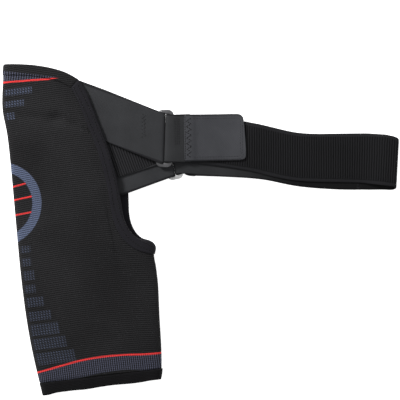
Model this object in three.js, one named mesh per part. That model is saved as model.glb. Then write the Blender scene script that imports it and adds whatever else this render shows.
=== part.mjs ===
// Shoulder brace for one shoulder and upper arm, lying flat with its front up.
// A knitted sleeve rises into a shoulder cap, and a wide elastic chest strap is held to the
// front and back of its body opening by folded anchor straps and two wire rings.
// Millimetres and degrees, +Z up out of the surface it lies on, the sleeve along +Y.

import * as THREE from "three";

// Knitted sleeve
const ARM_LENGTH = 346; // cuff edge to shoulder point, along the sleeve
const ARM_WIDTH = 140; // flat width round the upper arm
const ARMPIT_HEIGHT = 141; // cuff edge to armpit
const SLEEVE_TILT = 7; // lean of the sleeve's axis, its top towards -X
const KNIT = 1.8; // wall of the knit
const CROWN = 2.2; // rise of the front panel over the tube's middle
const CUFF_DROP = 2.5; // the tube lies flatter at its cuff
const CREASE_DEPTH = 1.6; // crease under the shoulder cap
const CREASE_WIDTH = 11; // half width of that crease

// Hems and tape
const CUFF_HEM = 11.5; // depth of the cuff's hem
const HEM_WALL = 2.4; // doubled knit of the cuff's hem
const TAPE = 0.8; // folded tape round the body opening
const TAPE_WIDTH = 9.5; // how far the tape reaches in from the edge
const TAPE_EASE = 3; // flat knit left inside the tape

// Elastic and rings
const STRAP_WIDTH = 50;
const STRAP = 1.2; // thickness of the elastic
const SPLAY = 20; // lean of an anchor's legs from the chest strap's line
const TUCK = 7; // how far a leg reaches in under the tape
const SETTLE = 6; // how far from the tape a leg lies flat
const ROD = 3; // wire of the rings
const RING_WIDTH = 17.3;
const RING_LENGTH = 60;
const RING_CORNER = 6; // outer corner radius of a ring
const WINDOW_GAP = 0.8; // slit left between the two folds in a ring
const RING_REACH = 62; // front edge of the opening to the front ring, along X
const LEG_TOP = 0.035; // share of the opening's line, from the neck, where the anchors' V starts
const FRONT_RING_TURN = -2;
const BACK_RING_TURN = 12;
const BACK_RING_SHIFT = 5.7; // back ring from the front ring, along X
const BACK_RING_DROP = 13.5; // and along -Y
const STRAP_REACH = 243; // front ring to the chest strap's far fold
const LOOP_GAP = 5; // open height inside the far fold

// Hook tabs
const TAB = 1.2;
const TAB_WIDTH = 49;
const TAB_LENGTH = 63.5;
const TAB_START = 20.3; // each ring to the start of its tab
const TAB_LAP = 8.4; // how far the strap's end lies under the tab
const TAB_LEAD = 2.1; // flat run of the strap's end before its tab
const TAB_CORNER = 6;
const FRONT_TAB_LEAN = 1; // run of the front tab from the X axis
const REAR_TAB_LEAN = -2;

// Clearances
const GAP = 0.3; // between pieces that touch
const LAYER_GAP = 0.5; // between layers of elastic that lie on each other

// Mesh
const NECK_COLUMNS = 6;
const OPENING_COLUMNS = 13;
const SLEEVE_ROWS = 18;
const FOLD_ANGLES = [0, 30, 60];
const RUN_STEPS = 24;
const ROD_SIDES = 8;
const TAB_STEPS = 6;
const TURN_SHARE = 0.2; // share of a run over which its width turns from the ring's bar
const CREASE_POINTS = 12;
const EDGE_POINTS = 200;
const RUN_POINTS = 300;

// Outer line of the sleeve's folds: up in shares of the fold's height, out of ARM_WIDTH
const OUTER_FOLD = [
  { up: 0, out: -0.446 },
  { up: 0.05, out: -0.463 },
  { up: 0.12, out: -0.481 },
  { up: 0.22, out: -0.496 },
  { up: 0.36, out: -0.498 },
  { up: 0.53, out: -0.485 },
  { up: 0.72, out: -0.47 },
  { up: 0.82, out: -0.47 },
  { up: 0.85, out: -0.486 },
  { up: 0.89, out: -0.479 },
  { up: 1, out: -0.428 },
];
const INNER_FOLD = [
  { up: 0, out: 0.439 },
  { up: 0.06, out: 0.457 },
  { up: 0.23, out: 0.474 },
  { up: 0.47, out: 0.485 },
  { up: 0.71, out: 0.499 },
  { up: 0.88, out: 0.5 },
  { up: 0.95, out: 0.518 },
  { up: 1, out: 0.507 },
];

// Edges: across in shares of ARM_WIDTH, up in shares of the height from armpit to shoulder
const NECK_EDGE = [
  { across: -0.428, up: 1 },
  { across: -0.26, up: 0.985 },
  { across: -0.16, up: 0.969 },
  { across: -0.08, up: 0.952 },
  { across: 0.02, up: 0.923 },
  { across: 0.075, up: 0.898 },
  { across: 0.109, up: 0.872 },
];
const FRONT_OPENING = [
  { across: 0.109, up: 0.872 },
  { across: 0.14, up: 0.83 },
  { across: 0.189, up: 0.72 },
  { across: 0.259, up: 0.545 },
  { across: 0.299, up: 0.388 },
  { across: 0.314, up: 0.27 },
  { across: 0.314, up: 0.18 },
  { across: 0.331, up: 0.109 },
  { across: 0.366, up: 0.06 },
  { across: 0.421, up: 0.027 },
  { across: 0.507, up: 0 },
];
const BACK_OPENING = [
  { across: 0.109, up: 0.872 },
  { across: 0.145, up: 0.83 },
  { across: 0.2, up: 0.72 },
  { across: 0.3, up: 0.52 },
  { across: 0.343, up: 0.424 },
  { across: 0.374, up: 0.337 },
  { across: 0.376, up: 0.27 },
  { across: 0.36, up: 0.19 },
  { across: 0.359, up: 0.13 },
  { across: 0.38, up: 0.075 },
  { across: 0.43, up: 0.03 },
  { across: 0.507, up: 0 },
];

// Crease line under the shoulder cap, in the same shares as the edges
const CREASE = [
  { across: -0.36, up: 0.75 },
  { across: -0.09, up: 0.687 },
  { across: 0.18, up: 0.587 },
];

// Chest strap's runs: along in shares of STRAP_REACH from the front ring, side in shares of
// STRAP_WIDTH, lift in layers of elastic above the lowest one
const FRONT_RUN = [
  { along: 0.12, side: -0.02, lift: 3.3 },
  { along: 0.155, side: -0.04, lift: 3.1 },
  { along: 0.22, side: -0.065, lift: 2 },
  { along: 0.375, side: -0.175, lift: 2 },
  { along: 0.45, side: -0.26, lift: 1 },
  { along: 0.51, side: -0.33, lift: 1 },
  { along: 0.58, side: -0.385, lift: 1 },
  { along: 0.75, side: -0.417, lift: 1 },
  { along: 0.87, side: -0.44, lift: 1 },
];
const REAR_RUN = [
  { along: 0.12, side: -0.255, lift: 2.3 },
  { along: 0.155, side: -0.27, lift: 2.1 },
  { along: 0.22, side: -0.29, lift: 1 },
  { along: 0.375, side: -0.33, lift: 1 },
  { along: 0.45, side: -0.37, lift: 0 },
  { along: 0.51, side: -0.43, lift: 0 },
  { along: 0.58, side: -0.5, lift: 0 },
  { along: 0.75, side: -0.565, lift: 0 },
  { along: 0.87, side: -0.565, lift: 0 },
];
const FAR_FOLD_FRONT = -0.465; // side of the front run where the far loop opens
const FAR_FOLD_REAR = -0.54;
const LOOP_START = 0.94; // share of STRAP_REACH where the far loop is fully open

// Heights worked out from the thicknesses
const rad = THREE.MathUtils.degToRad;
const lerp = THREE.MathUtils.lerp;
const TAPE_OUT = KNIT / 2 + GAP + TAPE; // knit's middle to the tape's outer face
const BACK_REST = KNIT / 2;
const BACK_EDGE = TAPE_OUT;
const LAYER = STRAP + LAYER_GAP;
const LEG_HEIGHTS = [0, 1, 2, 3].map((n) => 2 * TAPE_OUT + GAP + STRAP / 2 + n * LAYER);
const FRONT_EDGE = LEG_HEIGHTS[3] + STRAP / 2 + GAP + TAPE_OUT;
const FOLD_RADIUS = (FRONT_EDGE - BACK_EDGE) / 2;
const TURN_RADIUS = ROD / 2 + GAP + STRAP / 2; // elastic's middle round a ring's bar
const BACK_RING_HEIGHT = STRAP / 2 + TURN_RADIUS;
const FRONT_RING_HEIGHT = BACK_RING_HEIGHT + 2 * TURN_RADIUS + LAYER;
const LOOP_RADIUS = (LOOP_GAP + STRAP) / 2;
const LEG_HALF_WIDTH = STRAP_WIDTH / 2 / Math.cos(rad(SPLAY)); // half a leg's width along the ring's bar

// Point in the sleeve's own plane, turned to the part's frame
function onPlan(across, up) {
  const lean = rad(SLEEVE_TILT);
  return new THREE.Vector3(
    across * Math.cos(lean) - up * Math.sin(lean),
    across * Math.sin(lean) + up * Math.cos(lean),
    0
  );
}

function edgePoint(row) {
  const up = ARMPIT_HEIGHT + row.up * (ARM_LENGTH - ARMPIT_HEIGHT);
  return onPlan(row.across * ARM_WIDTH, up);
}

function smoothCurve(points) {
  return new THREE.CatmullRomCurve3(points, false, "centripetal");
}

// Line of a fold, drawn in from the outline by half the knit
function foldCurve(table, height) {
  const side = Math.sign(table[0].out);
  const points = table.map((row) => onPlan(row.out * ARM_WIDTH - side * (KNIT / 2), row.up * height));
  return smoothCurve(points);
}

// Edge line of one panel, drawn in from the outline by the tape round it
function edgeCurves(openingTable) {
  const drawnIn = (table) => {
    const outline = smoothCurve(table.map(edgePoint));
    return smoothCurve(
      table.map((row, n) => {
        const tangent = outline.getTangent(n / (table.length - 1));
        const inward = new THREE.Vector3(tangent.y, -tangent.x, 0);
        return edgePoint(row).addScaledVector(inward, TAPE_OUT);
      })
    );
  };
  return { neck: drawnIn(NECK_EDGE), opening: drawnIn(openingTable) };
}

// Columns of one panel, from the outer fold to the inner fold
function panelColumns(openingTable, face) {
  const { neck, opening } = edgeCurves(openingTable);
  const outer = foldCurve(OUTER_FOLD, ARM_LENGTH - TAPE_OUT);
  const inner = foldCurve(INNER_FOLD, ARMPIT_HEIGHT - TAPE_OUT);
  const neckLength = neck.getLength();
  const openLength = opening.getLength();
  const bottomLeft = outer.getPoint(0);
  const bottomRight = inner.getPoint(0);
  const bottomWidth = bottomLeft.distanceTo(bottomRight);
  const steps = NECK_COLUMNS + OPENING_COLUMNS;
  const columns = [];
  const add = (distance, bottomDistance, blend, angle) => {
    let edge;
    let tangent;
    if (distance <= neckLength) {
      edge = neck.getPointAt(distance / neckLength);
      tangent = neck.getTangentAt(distance / neckLength);
    } else {
      const share = Math.min((distance - neckLength) / openLength, 1);
      edge = opening.getPointAt(share);
      tangent = opening.getTangentAt(share);
    }
    const inward = new THREE.Vector3(tangent.y, -tangent.x, 0);
    const bottom = bottomLeft.clone().lerp(bottomRight, bottomDistance / bottomWidth);
    columns.push({ edge, inward, bottom, blend, angle, face });
  };
  FOLD_ANGLES.forEach((angle) => {
    const inset = FOLD_RADIUS * (1 - Math.cos(rad(angle)));
    add(inset, inset, 0, angle);
  });
  for (let n = 0; n <= steps; n += 1) {
    const share = n / steps;
    const distance =
      n <= NECK_COLUMNS
        ? lerp(FOLD_RADIUS, neckLength, n / NECK_COLUMNS)
        : lerp(neckLength, neckLength + openLength - FOLD_RADIUS, (n - NECK_COLUMNS) / OPENING_COLUMNS);
    add(distance, lerp(FOLD_RADIUS, bottomWidth - FOLD_RADIUS, share), share, 90);
  }
  [...FOLD_ANGLES].reverse().forEach((angle) => {
    const inset = FOLD_RADIUS * (1 - Math.cos(rad(angle)));
    add(neckLength + openLength - inset, bottomWidth - inset, 1, angle);
  });
  const outerEnd = outer.getPoint(1);
  const innerEnd = inner.getPoint(1);
  const ends = [
    { column: columns[0], down: outer.getTangent(1).negate(), end: outerEnd },
    { column: columns[columns.length - 1], down: inner.getTangent(1).negate(), end: innerEnd },
  ];
  ends.forEach(({ column, down, end }) => {
    column.edge = end.clone();
    column.inward = down;
  });
  columns.forEach((column) => {
    const nearFold = column.angle < 90 && column.angle > 0;
    if (nearFold) column.inward = (column.blend === 0 ? ends[0] : ends[1]).down;
    column.inset = column.edge.clone().addScaledVector(column.inward, TAPE_WIDTH + TAPE_EASE);
    column.length = column.inset.distanceTo(column.bottom);
  });
  return { columns, outer, inner };
}

const front = panelColumns(FRONT_OPENING, 1);
const back = panelColumns(BACK_OPENING, -1);

// All columns round the tube: front from outer to inner fold, then back the other way
const tube = [...front.columns, ...back.columns.slice(1, -1).reverse()];
const creaseLine = new THREE.CatmullRomCurve3(CREASE.map(edgePoint)).getPoints(CREASE_POINTS);

function creaseDrop(point) {
  const distance = Math.min(...creaseLine.map((p) => Math.hypot(p.x - point.x, p.y - point.y)));
  return CREASE_DEPTH * Math.exp(-((distance / CREASE_WIDTH) ** 2));
}

// Height of the knit's middle on one panel, t from cuff to the flat knit inside the tape
function panelHeight(face, blend, t, point) {
  if (face < 0) return t >= 1 ? BACK_EDGE : BACK_REST;
  const crown = CROWN * Math.sin(Math.PI * blend) * Math.sqrt(Math.sin(Math.PI * Math.min(t, 1)));
  const drop = CUFF_DROP * (1 - Math.min(t, 1)) ** 3;
  const crease = t < 1 ? creaseDrop(point) : 0;
  return FRONT_EDGE + crown - drop - crease;
}

// Point on the middle of the knit. Row is { along } from the cuff or { inFrom } the edge
function knitPoint(column, row) {
  let point;
  let t = 1;
  if (row.inFrom !== undefined) {
    point = column.edge.clone().addScaledVector(column.inward, row.inFrom);
  } else {
    t = row.along / column.length;
    point = column.bottom.clone().lerp(column.inset, t);
    const sides = [
      { curve: front.outer, weight: 1 - column.blend },
      { curve: front.inner, weight: column.blend },
    ];
    sides.forEach(({ curve, weight }) => {
      const last = 1 - (TAPE_WIDTH + TAPE_EASE) / curve.getLength();
      const straight = curve.getPointAt(0).lerp(curve.getPointAt(last), t);
      point.addScaledVector(curve.getPointAt(t * last).sub(straight), weight);
    });
  }
  const top = panelHeight(1, column.blend, t, point);
  const low = panelHeight(-1, column.blend, t, point);
  const middle = (top + low) / 2;
  const own = column.face > 0 ? top : low;
  point.z = middle + (own - middle) * Math.sin(rad(column.angle));
  return point;
}

// Rows of points on each column, with the outward normal at each
function knitGrid(columns, rowsOf, closed) {
  const points = columns.map((column) => rowsOf(column).map((row) => knitPoint(column, row)));
  const count = columns.length;
  const pick = (n) => (closed ? (n + count) % count : THREE.MathUtils.clamp(n, 0, count - 1));
  return points.map((rows, c) =>
    rows.map((point, r) => {
      const round = points[pick(c + 1)][r].clone().sub(points[pick(c - 1)][r]);
      const up = rows[Math.min(r + 1, rows.length - 1)].clone().sub(rows[Math.max(r - 1, 0)]);
      return { point, normal: round.cross(up).normalize() };
    })
  );
}

function offset(cell, distance) {
  return cell.point.clone().addScaledVector(cell.normal, distance);
}

// Closed body between an outer and an inner row of points on each section
function wallBody(sections, closed) {
  const count = sections[0].outer.length;
  const positions = [];
  const triangles = [];
  sections.forEach(({ outer, inner }) => [...outer, ...inner].forEach((p) => positions.push(p.x, p.y, p.z)));
  const quad = (a, b, c, d) => triangles.push([a, b, c], [a, c, d]);
  const at = (section, side, n) => section * 2 * count + side * count + n;
  const spans = closed ? sections.length : sections.length - 1;
  for (let s = 0; s < spans; s += 1) {
    const next = (s + 1) % sections.length;
    for (let n = 0; n < count - 1; n += 1) {
      quad(at(s, 0, n), at(next, 0, n), at(next, 0, n + 1), at(s, 0, n + 1));
      quad(at(s, 1, n + 1), at(next, 1, n + 1), at(next, 1, n), at(s, 1, n));
    }
    quad(at(s, 1, 0), at(next, 1, 0), at(next, 0, 0), at(s, 0, 0));
    quad(at(s, 0, count - 1), at(next, 0, count - 1), at(next, 1, count - 1), at(s, 1, count - 1));
  }
  if (!closed) {
    const last = sections.length - 1;
    for (let n = 0; n < count - 1; n += 1) {
      quad(at(0, 0, n), at(0, 0, n + 1), at(0, 1, n + 1), at(0, 1, n));
      quad(at(last, 0, n + 1), at(last, 0, n), at(last, 1, n), at(last, 1, n + 1));
    }
  }
  return facingOut(positions, triangles);
}

// Geometry whose faces all point out
function facingOut(positions, triangles) {
  const corner = (n) => new THREE.Vector3().fromArray(positions, 3 * n);
  const volume = triangles.reduce((sum, [a, b, c]) => sum + corner(a).dot(corner(b).cross(corner(c))), 0);
  const order = volume > 0 ? triangles : triangles.map(([a, b, c]) => [a, c, b]);
  const geometry = new THREE.BufferGeometry();
  geometry.setAttribute("position", new THREE.Float32BufferAttribute(positions, 3));
  geometry.setIndex(order.flat());
  geometry.computeVertexNormals();
  return geometry;
}

function knitWall(rowsOf, thickness) {
  const sections = knitGrid(tube, rowsOf, true).map((cells) => ({
    outer: cells.map((cell) => offset(cell, thickness / 2)),
    inner: cells.map((cell) => offset(cell, -thickness / 2)),
  }));
  return wallBody(sections, true);
}

function sleeveGeometry() {
  const start = CUFF_HEM + GAP;
  const rowsOf = (column) => {
    const rows = [];
    for (let n = 0; n <= SLEEVE_ROWS; n += 1) {
      rows.push({ along: lerp(start, column.length, n / SLEEVE_ROWS) });
    }
    rows.push({ inFrom: TAPE_WIDTH }, { inFrom: TAPE_WIDTH / 2 }, { inFrom: 0 });
    return rows;
  };
  return knitWall(rowsOf, KNIT);
}

function cuffHemGeometry() {
  const lift = (HEM_WALL - KNIT) / 2;
  const geometry = knitWall(() => [{ along: 0 }, { along: CUFF_HEM / 2 }, { along: CUFF_HEM }], HEM_WALL);
  return geometry.translate(0, 0, lift);
}

// Tape folded over the knit's edge on some of the columns
function tapeGeometry(columns) {
  const rowsOf = () => [{ inFrom: TAPE_WIDTH }, { inFrom: TAPE_WIDTH / 2 }, { inFrom: 0 }];
  const inside = KNIT / 2 + GAP;
  const sections = knitGrid(columns, rowsOf, false).map((cells, c) => {
    const out = columns[c].inward.clone().negate();
    const ring = (distance) => {
      const tip = cells[2];
      const bend = [45, 90, 135].map((angle) =>
        tip.point
          .clone()
          .addScaledVector(tip.normal, distance * Math.cos(rad(angle)))
          .addScaledVector(out, distance * Math.sin(rad(angle)))
      );
      return [
        ...cells.map((cell) => offset(cell, distance)),
        ...bend,
        ...[...cells].reverse().map((cell) => offset(cell, -distance)),
      ];
    };
    return { outer: ring(inside + TAPE), inner: ring(inside) };
  });
  return wallBody(sections, false);
}

// Columns of the neck edge and of the rest of the opening, which meet at the two corners
function tapeColumns() {
  const corner = FOLD_ANGLES.length + NECK_COLUMNS;
  const neck = [...back.columns.slice(1, corner + 1).reverse(), ...front.columns.slice(0, corner + 1)];
  const opening = [...front.columns.slice(corner), ...back.columns.slice(corner, -1).reverse()];
  return { neck: pulledApart(neck), opening: pulledApart(opening) };
}

// The same columns with the first and last drawn in, so that the two tapes keep a gap
function pulledApart(columns) {
  const moved = columns.map((column) => ({ ...column, edge: column.edge.clone() }));
  const shorten = (end, next) => {
    const step = next.edge.clone().sub(end.edge);
    const share = GAP / 2 / step.length();
    end.edge.addScaledVector(step, share);
    end.inward = end.inward.clone().lerp(next.inward, share).normalize();
  };
  shorten(moved[0], moved[1]);
  shorten(moved[moved.length - 1], moved[moved.length - 2]);
  return moved;
}

// Band of elastic through stations that give its two edges
function bandGeometry(stations, thickness) {
  const middle = (s) => s.left.clone().add(s.right).multiplyScalar(0.5);
  const last = stations.length - 1;
  const sections = stations.map((station, n) => {
    const before = middle(stations[Math.max(n - 1, 0)]);
    const after = middle(stations[Math.min(n + 1, last)]);
    const width = station.right.clone().sub(station.left);
    const normal = (station.along ? station.along.clone() : after.sub(before)).cross(width).normalize();
    const shift = (side) => [
      station.left.clone().addScaledVector(normal, (side * thickness) / 2),
      station.right.clone().addScaledVector(normal, (side * thickness) / 2),
    ];
    return { outer: shift(1), inner: shift(-1) };
  });
  return wallBody(sections, false);
}

// Places of the two rings, each with its own across and bar directions
function ringPlace(centre, turn, height) {
  const angle = rad(turn);
  return {
    centre: centre.clone().setZ(height),
    across: new THREE.Vector3(Math.cos(angle), Math.sin(angle), 0),
    bar: new THREE.Vector3(-Math.sin(angle), Math.cos(angle), 0),
    height,
  };
}

const TURN_INSET = WINDOW_GAP / 2 + STRAP / 2 + TURN_RADIUS; // ring's middle to a fold's centre

// The front ring hangs where the upper edge of the anchor's V meets the opening just below the neck
const openingEdge = smoothCurve(FRONT_OPENING.map(edgePoint));
const legTop = openingEdge.getPoint(LEG_TOP);
function vMiss(point) {
  const centre = point.clone().add(new THREE.Vector3(RING_REACH, 0, 0));
  const ring = ringPlace(centre, FRONT_RING_TURN, 0);
  const start = ring.centre
    .clone()
    .addScaledVector(ring.across, -TURN_INSET)
    .addScaledVector(ring.bar, LEG_HALF_WIDTH);
  return Math.abs(start.y + (start.x - legTop.x) * Math.tan(rad(SPLAY)) - legTop.y);
}
const facing = openingEdge.getPoints(EDGE_POINTS).reduce((best, p) => (vMiss(p) < vMiss(best) ? p : best));
const frontCentre = facing.clone().add(new THREE.Vector3(RING_REACH, 0, 0));
const backCentre = frontCentre.clone().add(new THREE.Vector3(BACK_RING_SHIFT, -BACK_RING_DROP, 0));
const frontRing = ringPlace(frontCentre, FRONT_RING_TURN, FRONT_RING_HEIGHT);
const backRing = ringPlace(backCentre, BACK_RING_TURN, BACK_RING_HEIGHT);

// Wire ring: a rounded rectangle swept with a round wire
function ringGeometry(ring) {
  const bend = RING_CORNER - ROD / 2;
  const halfWidth = RING_WIDTH / 2 - ROD / 2 - bend;
  const halfLength = RING_LENGTH / 2 - ROD / 2 - bend;
  const corners = [
    { x: halfWidth, y: halfLength, from: 0 },
    { x: -halfWidth, y: halfLength, from: 90 },
    { x: -halfWidth, y: -halfLength, from: 180 },
    { x: halfWidth, y: -halfLength, from: 270 },
  ];
  const positions = [];
  corners.forEach(({ x, y, from }) => {
    [0, 30, 60, 90].forEach((step) => {
      const out = new THREE.Vector3()
        .addScaledVector(ring.across, Math.cos(rad(from + step)))
        .addScaledVector(ring.bar, Math.sin(rad(from + step)));
      const centre = ring.centre
        .clone()
        .addScaledVector(ring.across, x)
        .addScaledVector(ring.bar, y)
        .addScaledVector(out, bend);
      for (let n = 0; n < ROD_SIDES; n += 1) {
        const angle = (2 * Math.PI * (n + 0.5)) / ROD_SIDES;
        const reach = (ROD / 2) * Math.cos(angle);
        const point = centre.clone().addScaledVector(out, reach);
        positions.push(point.x, point.y, point.z + (ROD / 2) * Math.sin(angle));
      }
    });
  });
  const rings = positions.length / 3 / ROD_SIDES;
  const triangles = [];
  for (let r = 0; r < rings; r += 1) {
    for (let n = 0; n < ROD_SIDES; n += 1) {
      const a = r * ROD_SIDES + n;
      const b = r * ROD_SIDES + ((n + 1) % ROD_SIDES);
      const c = ((r + 1) % rings) * ROD_SIDES + ((n + 1) % ROD_SIDES);
      const d = ((r + 1) % rings) * ROD_SIDES + n;
      triangles.push([a, b, c], [a, c, d]);
    }
  }
  return facingOut(positions, triangles);
}

// Half turn of elastic round a bar, from above to below, side -1 on the ring's left bar
function turnStations(ring, side, halfWidth) {
  return [0, 30, 60, 90, 120, 150, 180].map((step) => {
    const bulge = Math.sin(rad(step)) * TURN_RADIUS;
    const centre = ring.centre.clone().addScaledVector(ring.across, side * TURN_INSET - side * bulge);
    centre.z = ring.height + TURN_RADIUS * Math.cos(rad(step));
    const tangent = ring.across
      .clone()
      .multiplyScalar(-side * Math.cos(rad(step)))
      .setZ(-Math.sin(rad(step)));
    return {
      left: centre.clone().addScaledVector(ring.bar, halfWidth),
      right: centre.clone().addScaledVector(ring.bar, -halfWidth),
      along: tangent,
    };
  });
}

// Where a straight line from a point first meets the panel's edge
function distanceToEdge(start, direction, columns) {
  let nearest = Infinity;
  for (let n = 0; n < columns.length - 1; n += 1) {
    const a = columns[n].edge;
    const side = columns[n + 1].edge.clone().sub(a);
    const cross = direction.x * side.y - direction.y * side.x;
    const toA = a.clone().sub(start);
    const distance = (toA.x * side.y - toA.y * side.x) / cross;
    const share = (toA.x * direction.y - toA.y * direction.x) / cross;
    if (share >= 0 && share <= 1 && distance > 0) nearest = Math.min(nearest, distance);
  }
  return nearest;
}

// One leg of an anchor, from its fold in the ring to its end under the tape
function legStations(ring, lean, barHeight, endHeight, columns) {
  const direction = new THREE.Vector3(-Math.cos(rad(lean)), Math.sin(rad(lean)), 0);
  const foot = ring.centre.clone().addScaledVector(ring.across, -TURN_INSET).setZ(0);
  const clear = (RING_WIDTH / 2 - TURN_INSET + GAP) / Math.cos(rad(SPLAY));
  const edges = [1, -1].map((side) => {
    const start = foot.clone().addScaledVector(ring.bar, side * LEG_HALF_WIDTH);
    return { start, reach: distanceToEdge(start, direction, columns) + TUCK };
  });
  const shares = [0, 0.25, 0.5, 0.75, 1];
  const settle = TUCK + SETTLE;
  const stationAt = (distanceOf, height) => {
    const [left, right] = edges.map((edge) =>
      edge.start.clone().addScaledVector(direction, distanceOf(edge)).setZ(height)
    );
    return { left, right };
  };
  const free = shares.map((share) => {
    const ease = share * share * (3 - 2 * share);
    return stationAt((edge) => lerp(clear, edge.reach - settle, share), lerp(barHeight, endHeight, ease));
  });
  return [...free, stationAt((edge) => edge.reach, endHeight)];
}

function anchorGeometry(ring, panel, heights) {
  const above = ring.height + TURN_RADIUS;
  const below = ring.height - TURN_RADIUS;
  const topLean = panel === front ? SPLAY : -SPLAY;
  const top = legStations(ring, topLean, above, heights.top, panel.columns);
  const under = legStations(ring, -topLean, below, heights.under, panel.columns);
  const stations = [...top.reverse(), ...turnStations(ring, -1, LEG_HALF_WIDTH), ...under];
  return bandGeometry(stations, STRAP);
}

// Middle line of one of the chest strap's runs, as a smooth curve from the ring outwards
function runCurve(table, ring, height, farSide, farHeight) {
  const origin = frontRing.centre;
  const point = (along, side, z) =>
    new THREE.Vector3(origin.x + along * STRAP_REACH, origin.y + side * STRAP_WIDTH, z);
  const start = ring.centre.clone().addScaledVector(ring.across, TURN_INSET).setZ(height);
  const pastBar = ring.centre
    .clone()
    .addScaledVector(ring.across, RING_WIDTH / 2 + GAP)
    .setZ(height);
  const rows = table.map((row) => point(row.along, row.side, STRAP / 2 + row.lift * LAYER));
  const farX = 1 - LOOP_RADIUS / STRAP_REACH;
  return new THREE.CatmullRomCurve3(
    [start, pastBar, ...rows, point(LOOP_START, farSide, farHeight), point(farX, farSide, farHeight)],
    false,
    "centripetal"
  );
}

// Stations along a curve, the width square to it, the first one along the ring's bar
function runStations(curve, ring, steps) {
  const half = STRAP_WIDTH / 2;
  const stations = [];
  for (let n = 1; n <= steps; n += 1) {
    const share = n / steps;
    const centre = curve.getPointAt(share);
    const tangent = curve.getTangentAt(share);
    const square = new THREE.Vector3(-tangent.y, tangent.x, 0).normalize();
    const own = Math.min(share / TURN_SHARE, 1);
    const width = ring.bar.clone().lerp(square, own).normalize();
    stations.push({
      left: centre.clone().addScaledVector(width, half),
      right: centre.clone().addScaledVector(width, -half),
    });
  }
  return stations;
}

const tabLift = TAB + GAP + STRAP / 2;
const frontRunCurve = runCurve(
  FRONT_RUN,
  frontRing,
  FRONT_RING_HEIGHT - TURN_RADIUS,
  FAR_FOLD_FRONT,
  STRAP / 2 + 2 * LOOP_RADIUS
);
const rearRunCurve = runCurve(REAR_RUN, backRing, BACK_RING_HEIGHT + TURN_RADIUS, FAR_FOLD_REAR, STRAP / 2);

// Direction of a folded-back end and the direction square to it
function endLine(lean) {
  const angle = rad(lean);
  return {
    run: new THREE.Vector3(Math.cos(angle), Math.sin(angle), 0),
    square: new THREE.Vector3(-Math.sin(angle), Math.cos(angle), 0),
  };
}

// Short folded-back end of the chest strap, from the ring's bar to its cut end
function endStations(ring, lean, barHeight, endHeight) {
  const half = STRAP_WIDTH / 2;
  const { run, square } = endLine(lean);
  const pastBar = ring.centre.clone().addScaledVector(ring.across, RING_WIDTH / 2 + GAP);
  const steps = [
    { centre: pastBar, z: barHeight, square: ring.bar },
    { centre: ring.centre.clone().addScaledVector(run, TAB_START - TAB_LEAD), z: endHeight, square },
    { centre: ring.centre.clone().addScaledVector(run, TAB_START + TAB_LAP), z: endHeight, square },
  ];
  return steps.map(({ centre, z, square: width }) => ({
    left: centre.clone().addScaledVector(width, half).setZ(z),
    right: centre.clone().addScaledVector(width, -half).setZ(z),
  }));
}

const frontEndHeight = STRAP / 2 + (FRONT_RUN[0].lift + 1) * LAYER + LAYER_GAP;
const frontEnd = endStations(frontRing, FRONT_TAB_LEAN, FRONT_RING_HEIGHT + TURN_RADIUS, frontEndHeight);
const rearEnd = endStations(backRing, REAR_TAB_LEAN, BACK_RING_HEIGHT - TURN_RADIUS, tabLift);

function farFoldStations() {
  const half = STRAP_WIDTH / 2;
  const x = frontRing.centre.x + STRAP_REACH - LOOP_RADIUS;
  return [30, 60, 90, 120, 150].map((step) => {
    const side = lerp(FAR_FOLD_FRONT, FAR_FOLD_REAR, step / 180);
    const y = frontRing.centre.y + side * STRAP_WIDTH;
    const z = STRAP / 2 + LOOP_RADIUS * (1 + Math.cos(rad(step)));
    const reach = x + LOOP_RADIUS * Math.sin(rad(step));
    return {
      left: new THREE.Vector3(reach, y + half, z),
      right: new THREE.Vector3(reach, y - half, z),
      along: new THREE.Vector3(Math.cos(rad(step)), 0, -Math.sin(rad(step))),
    };
  });
}

function chestStrapGeometry() {
  const half = STRAP_WIDTH / 2;
  const stations = [
    ...[...frontEnd].reverse(),
    ...turnStations(frontRing, 1, half),
    ...runStations(frontRunCurve, frontRing, RUN_STEPS),
    ...farFoldStations(),
    ...runStations(rearRunCurve, backRing, RUN_STEPS).reverse(),
    ...turnStations(backRing, 1, half),
    ...rearEnd,
  ];
  return bandGeometry(stations, STRAP);
}

// Height of the elastic's middle on a run at one distance from the front ring
function runHeight(curve, along) {
  const wanted = frontRing.centre.x + along;
  const points = curve.getPoints(RUN_POINTS);
  return points.reduce((best, p) => (Math.abs(p.x - wanted) < Math.abs(best.x - wanted) ? p : best)).z;
}

// Hook patch, straight on the strap's folded end, its free corners rounded
function tabGeometry(ring, lean, heightAt) {
  const round = [30, 60, 90].map((step) => ({
    away: TAB_LENGTH - TAB_CORNER * (1 - Math.sin(rad(step))),
    drawn: TAB_CORNER * (1 - Math.cos(rad(step))),
  }));
  const offEnd = 1.5 * TAB_LAP;
  const straight = [0, TAB_LAP, offEnd];
  for (let n = 1; n <= TAB_STEPS; n += 1) {
    straight.push(lerp(offEnd, TAB_LENGTH - TAB_CORNER, n / TAB_STEPS));
  }
  const rows = [...straight.map((away) => ({ away, drawn: 0 })), ...round];
  const { run, square } = endLine(lean);
  const stations = rows.map(({ away, drawn }) => {
    const centre = ring.centre.clone().addScaledVector(run, TAB_START + away);
    centre.z = heightAt(TAB_START + away, away);
    const half = TAB_WIDTH / 2 - drawn;
    return {
      left: centre.clone().addScaledVector(square, half),
      right: centre.clone().addScaledVector(square, -half),
    };
  });
  return bandGeometry(stations, TAB);
}

const onEnd = frontEndHeight + STRAP / 2 + GAP + TAB / 2;

function frontTabHeight(along, away) {
  if (away <= TAB_LAP) return onEnd;
  return Math.min(runHeight(frontRunCurve, along) + STRAP / 2 + LAYER_GAP + TAB / 2, onEnd);
}

function rearTabHeight() {
  return TAB / 2;
}

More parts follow.
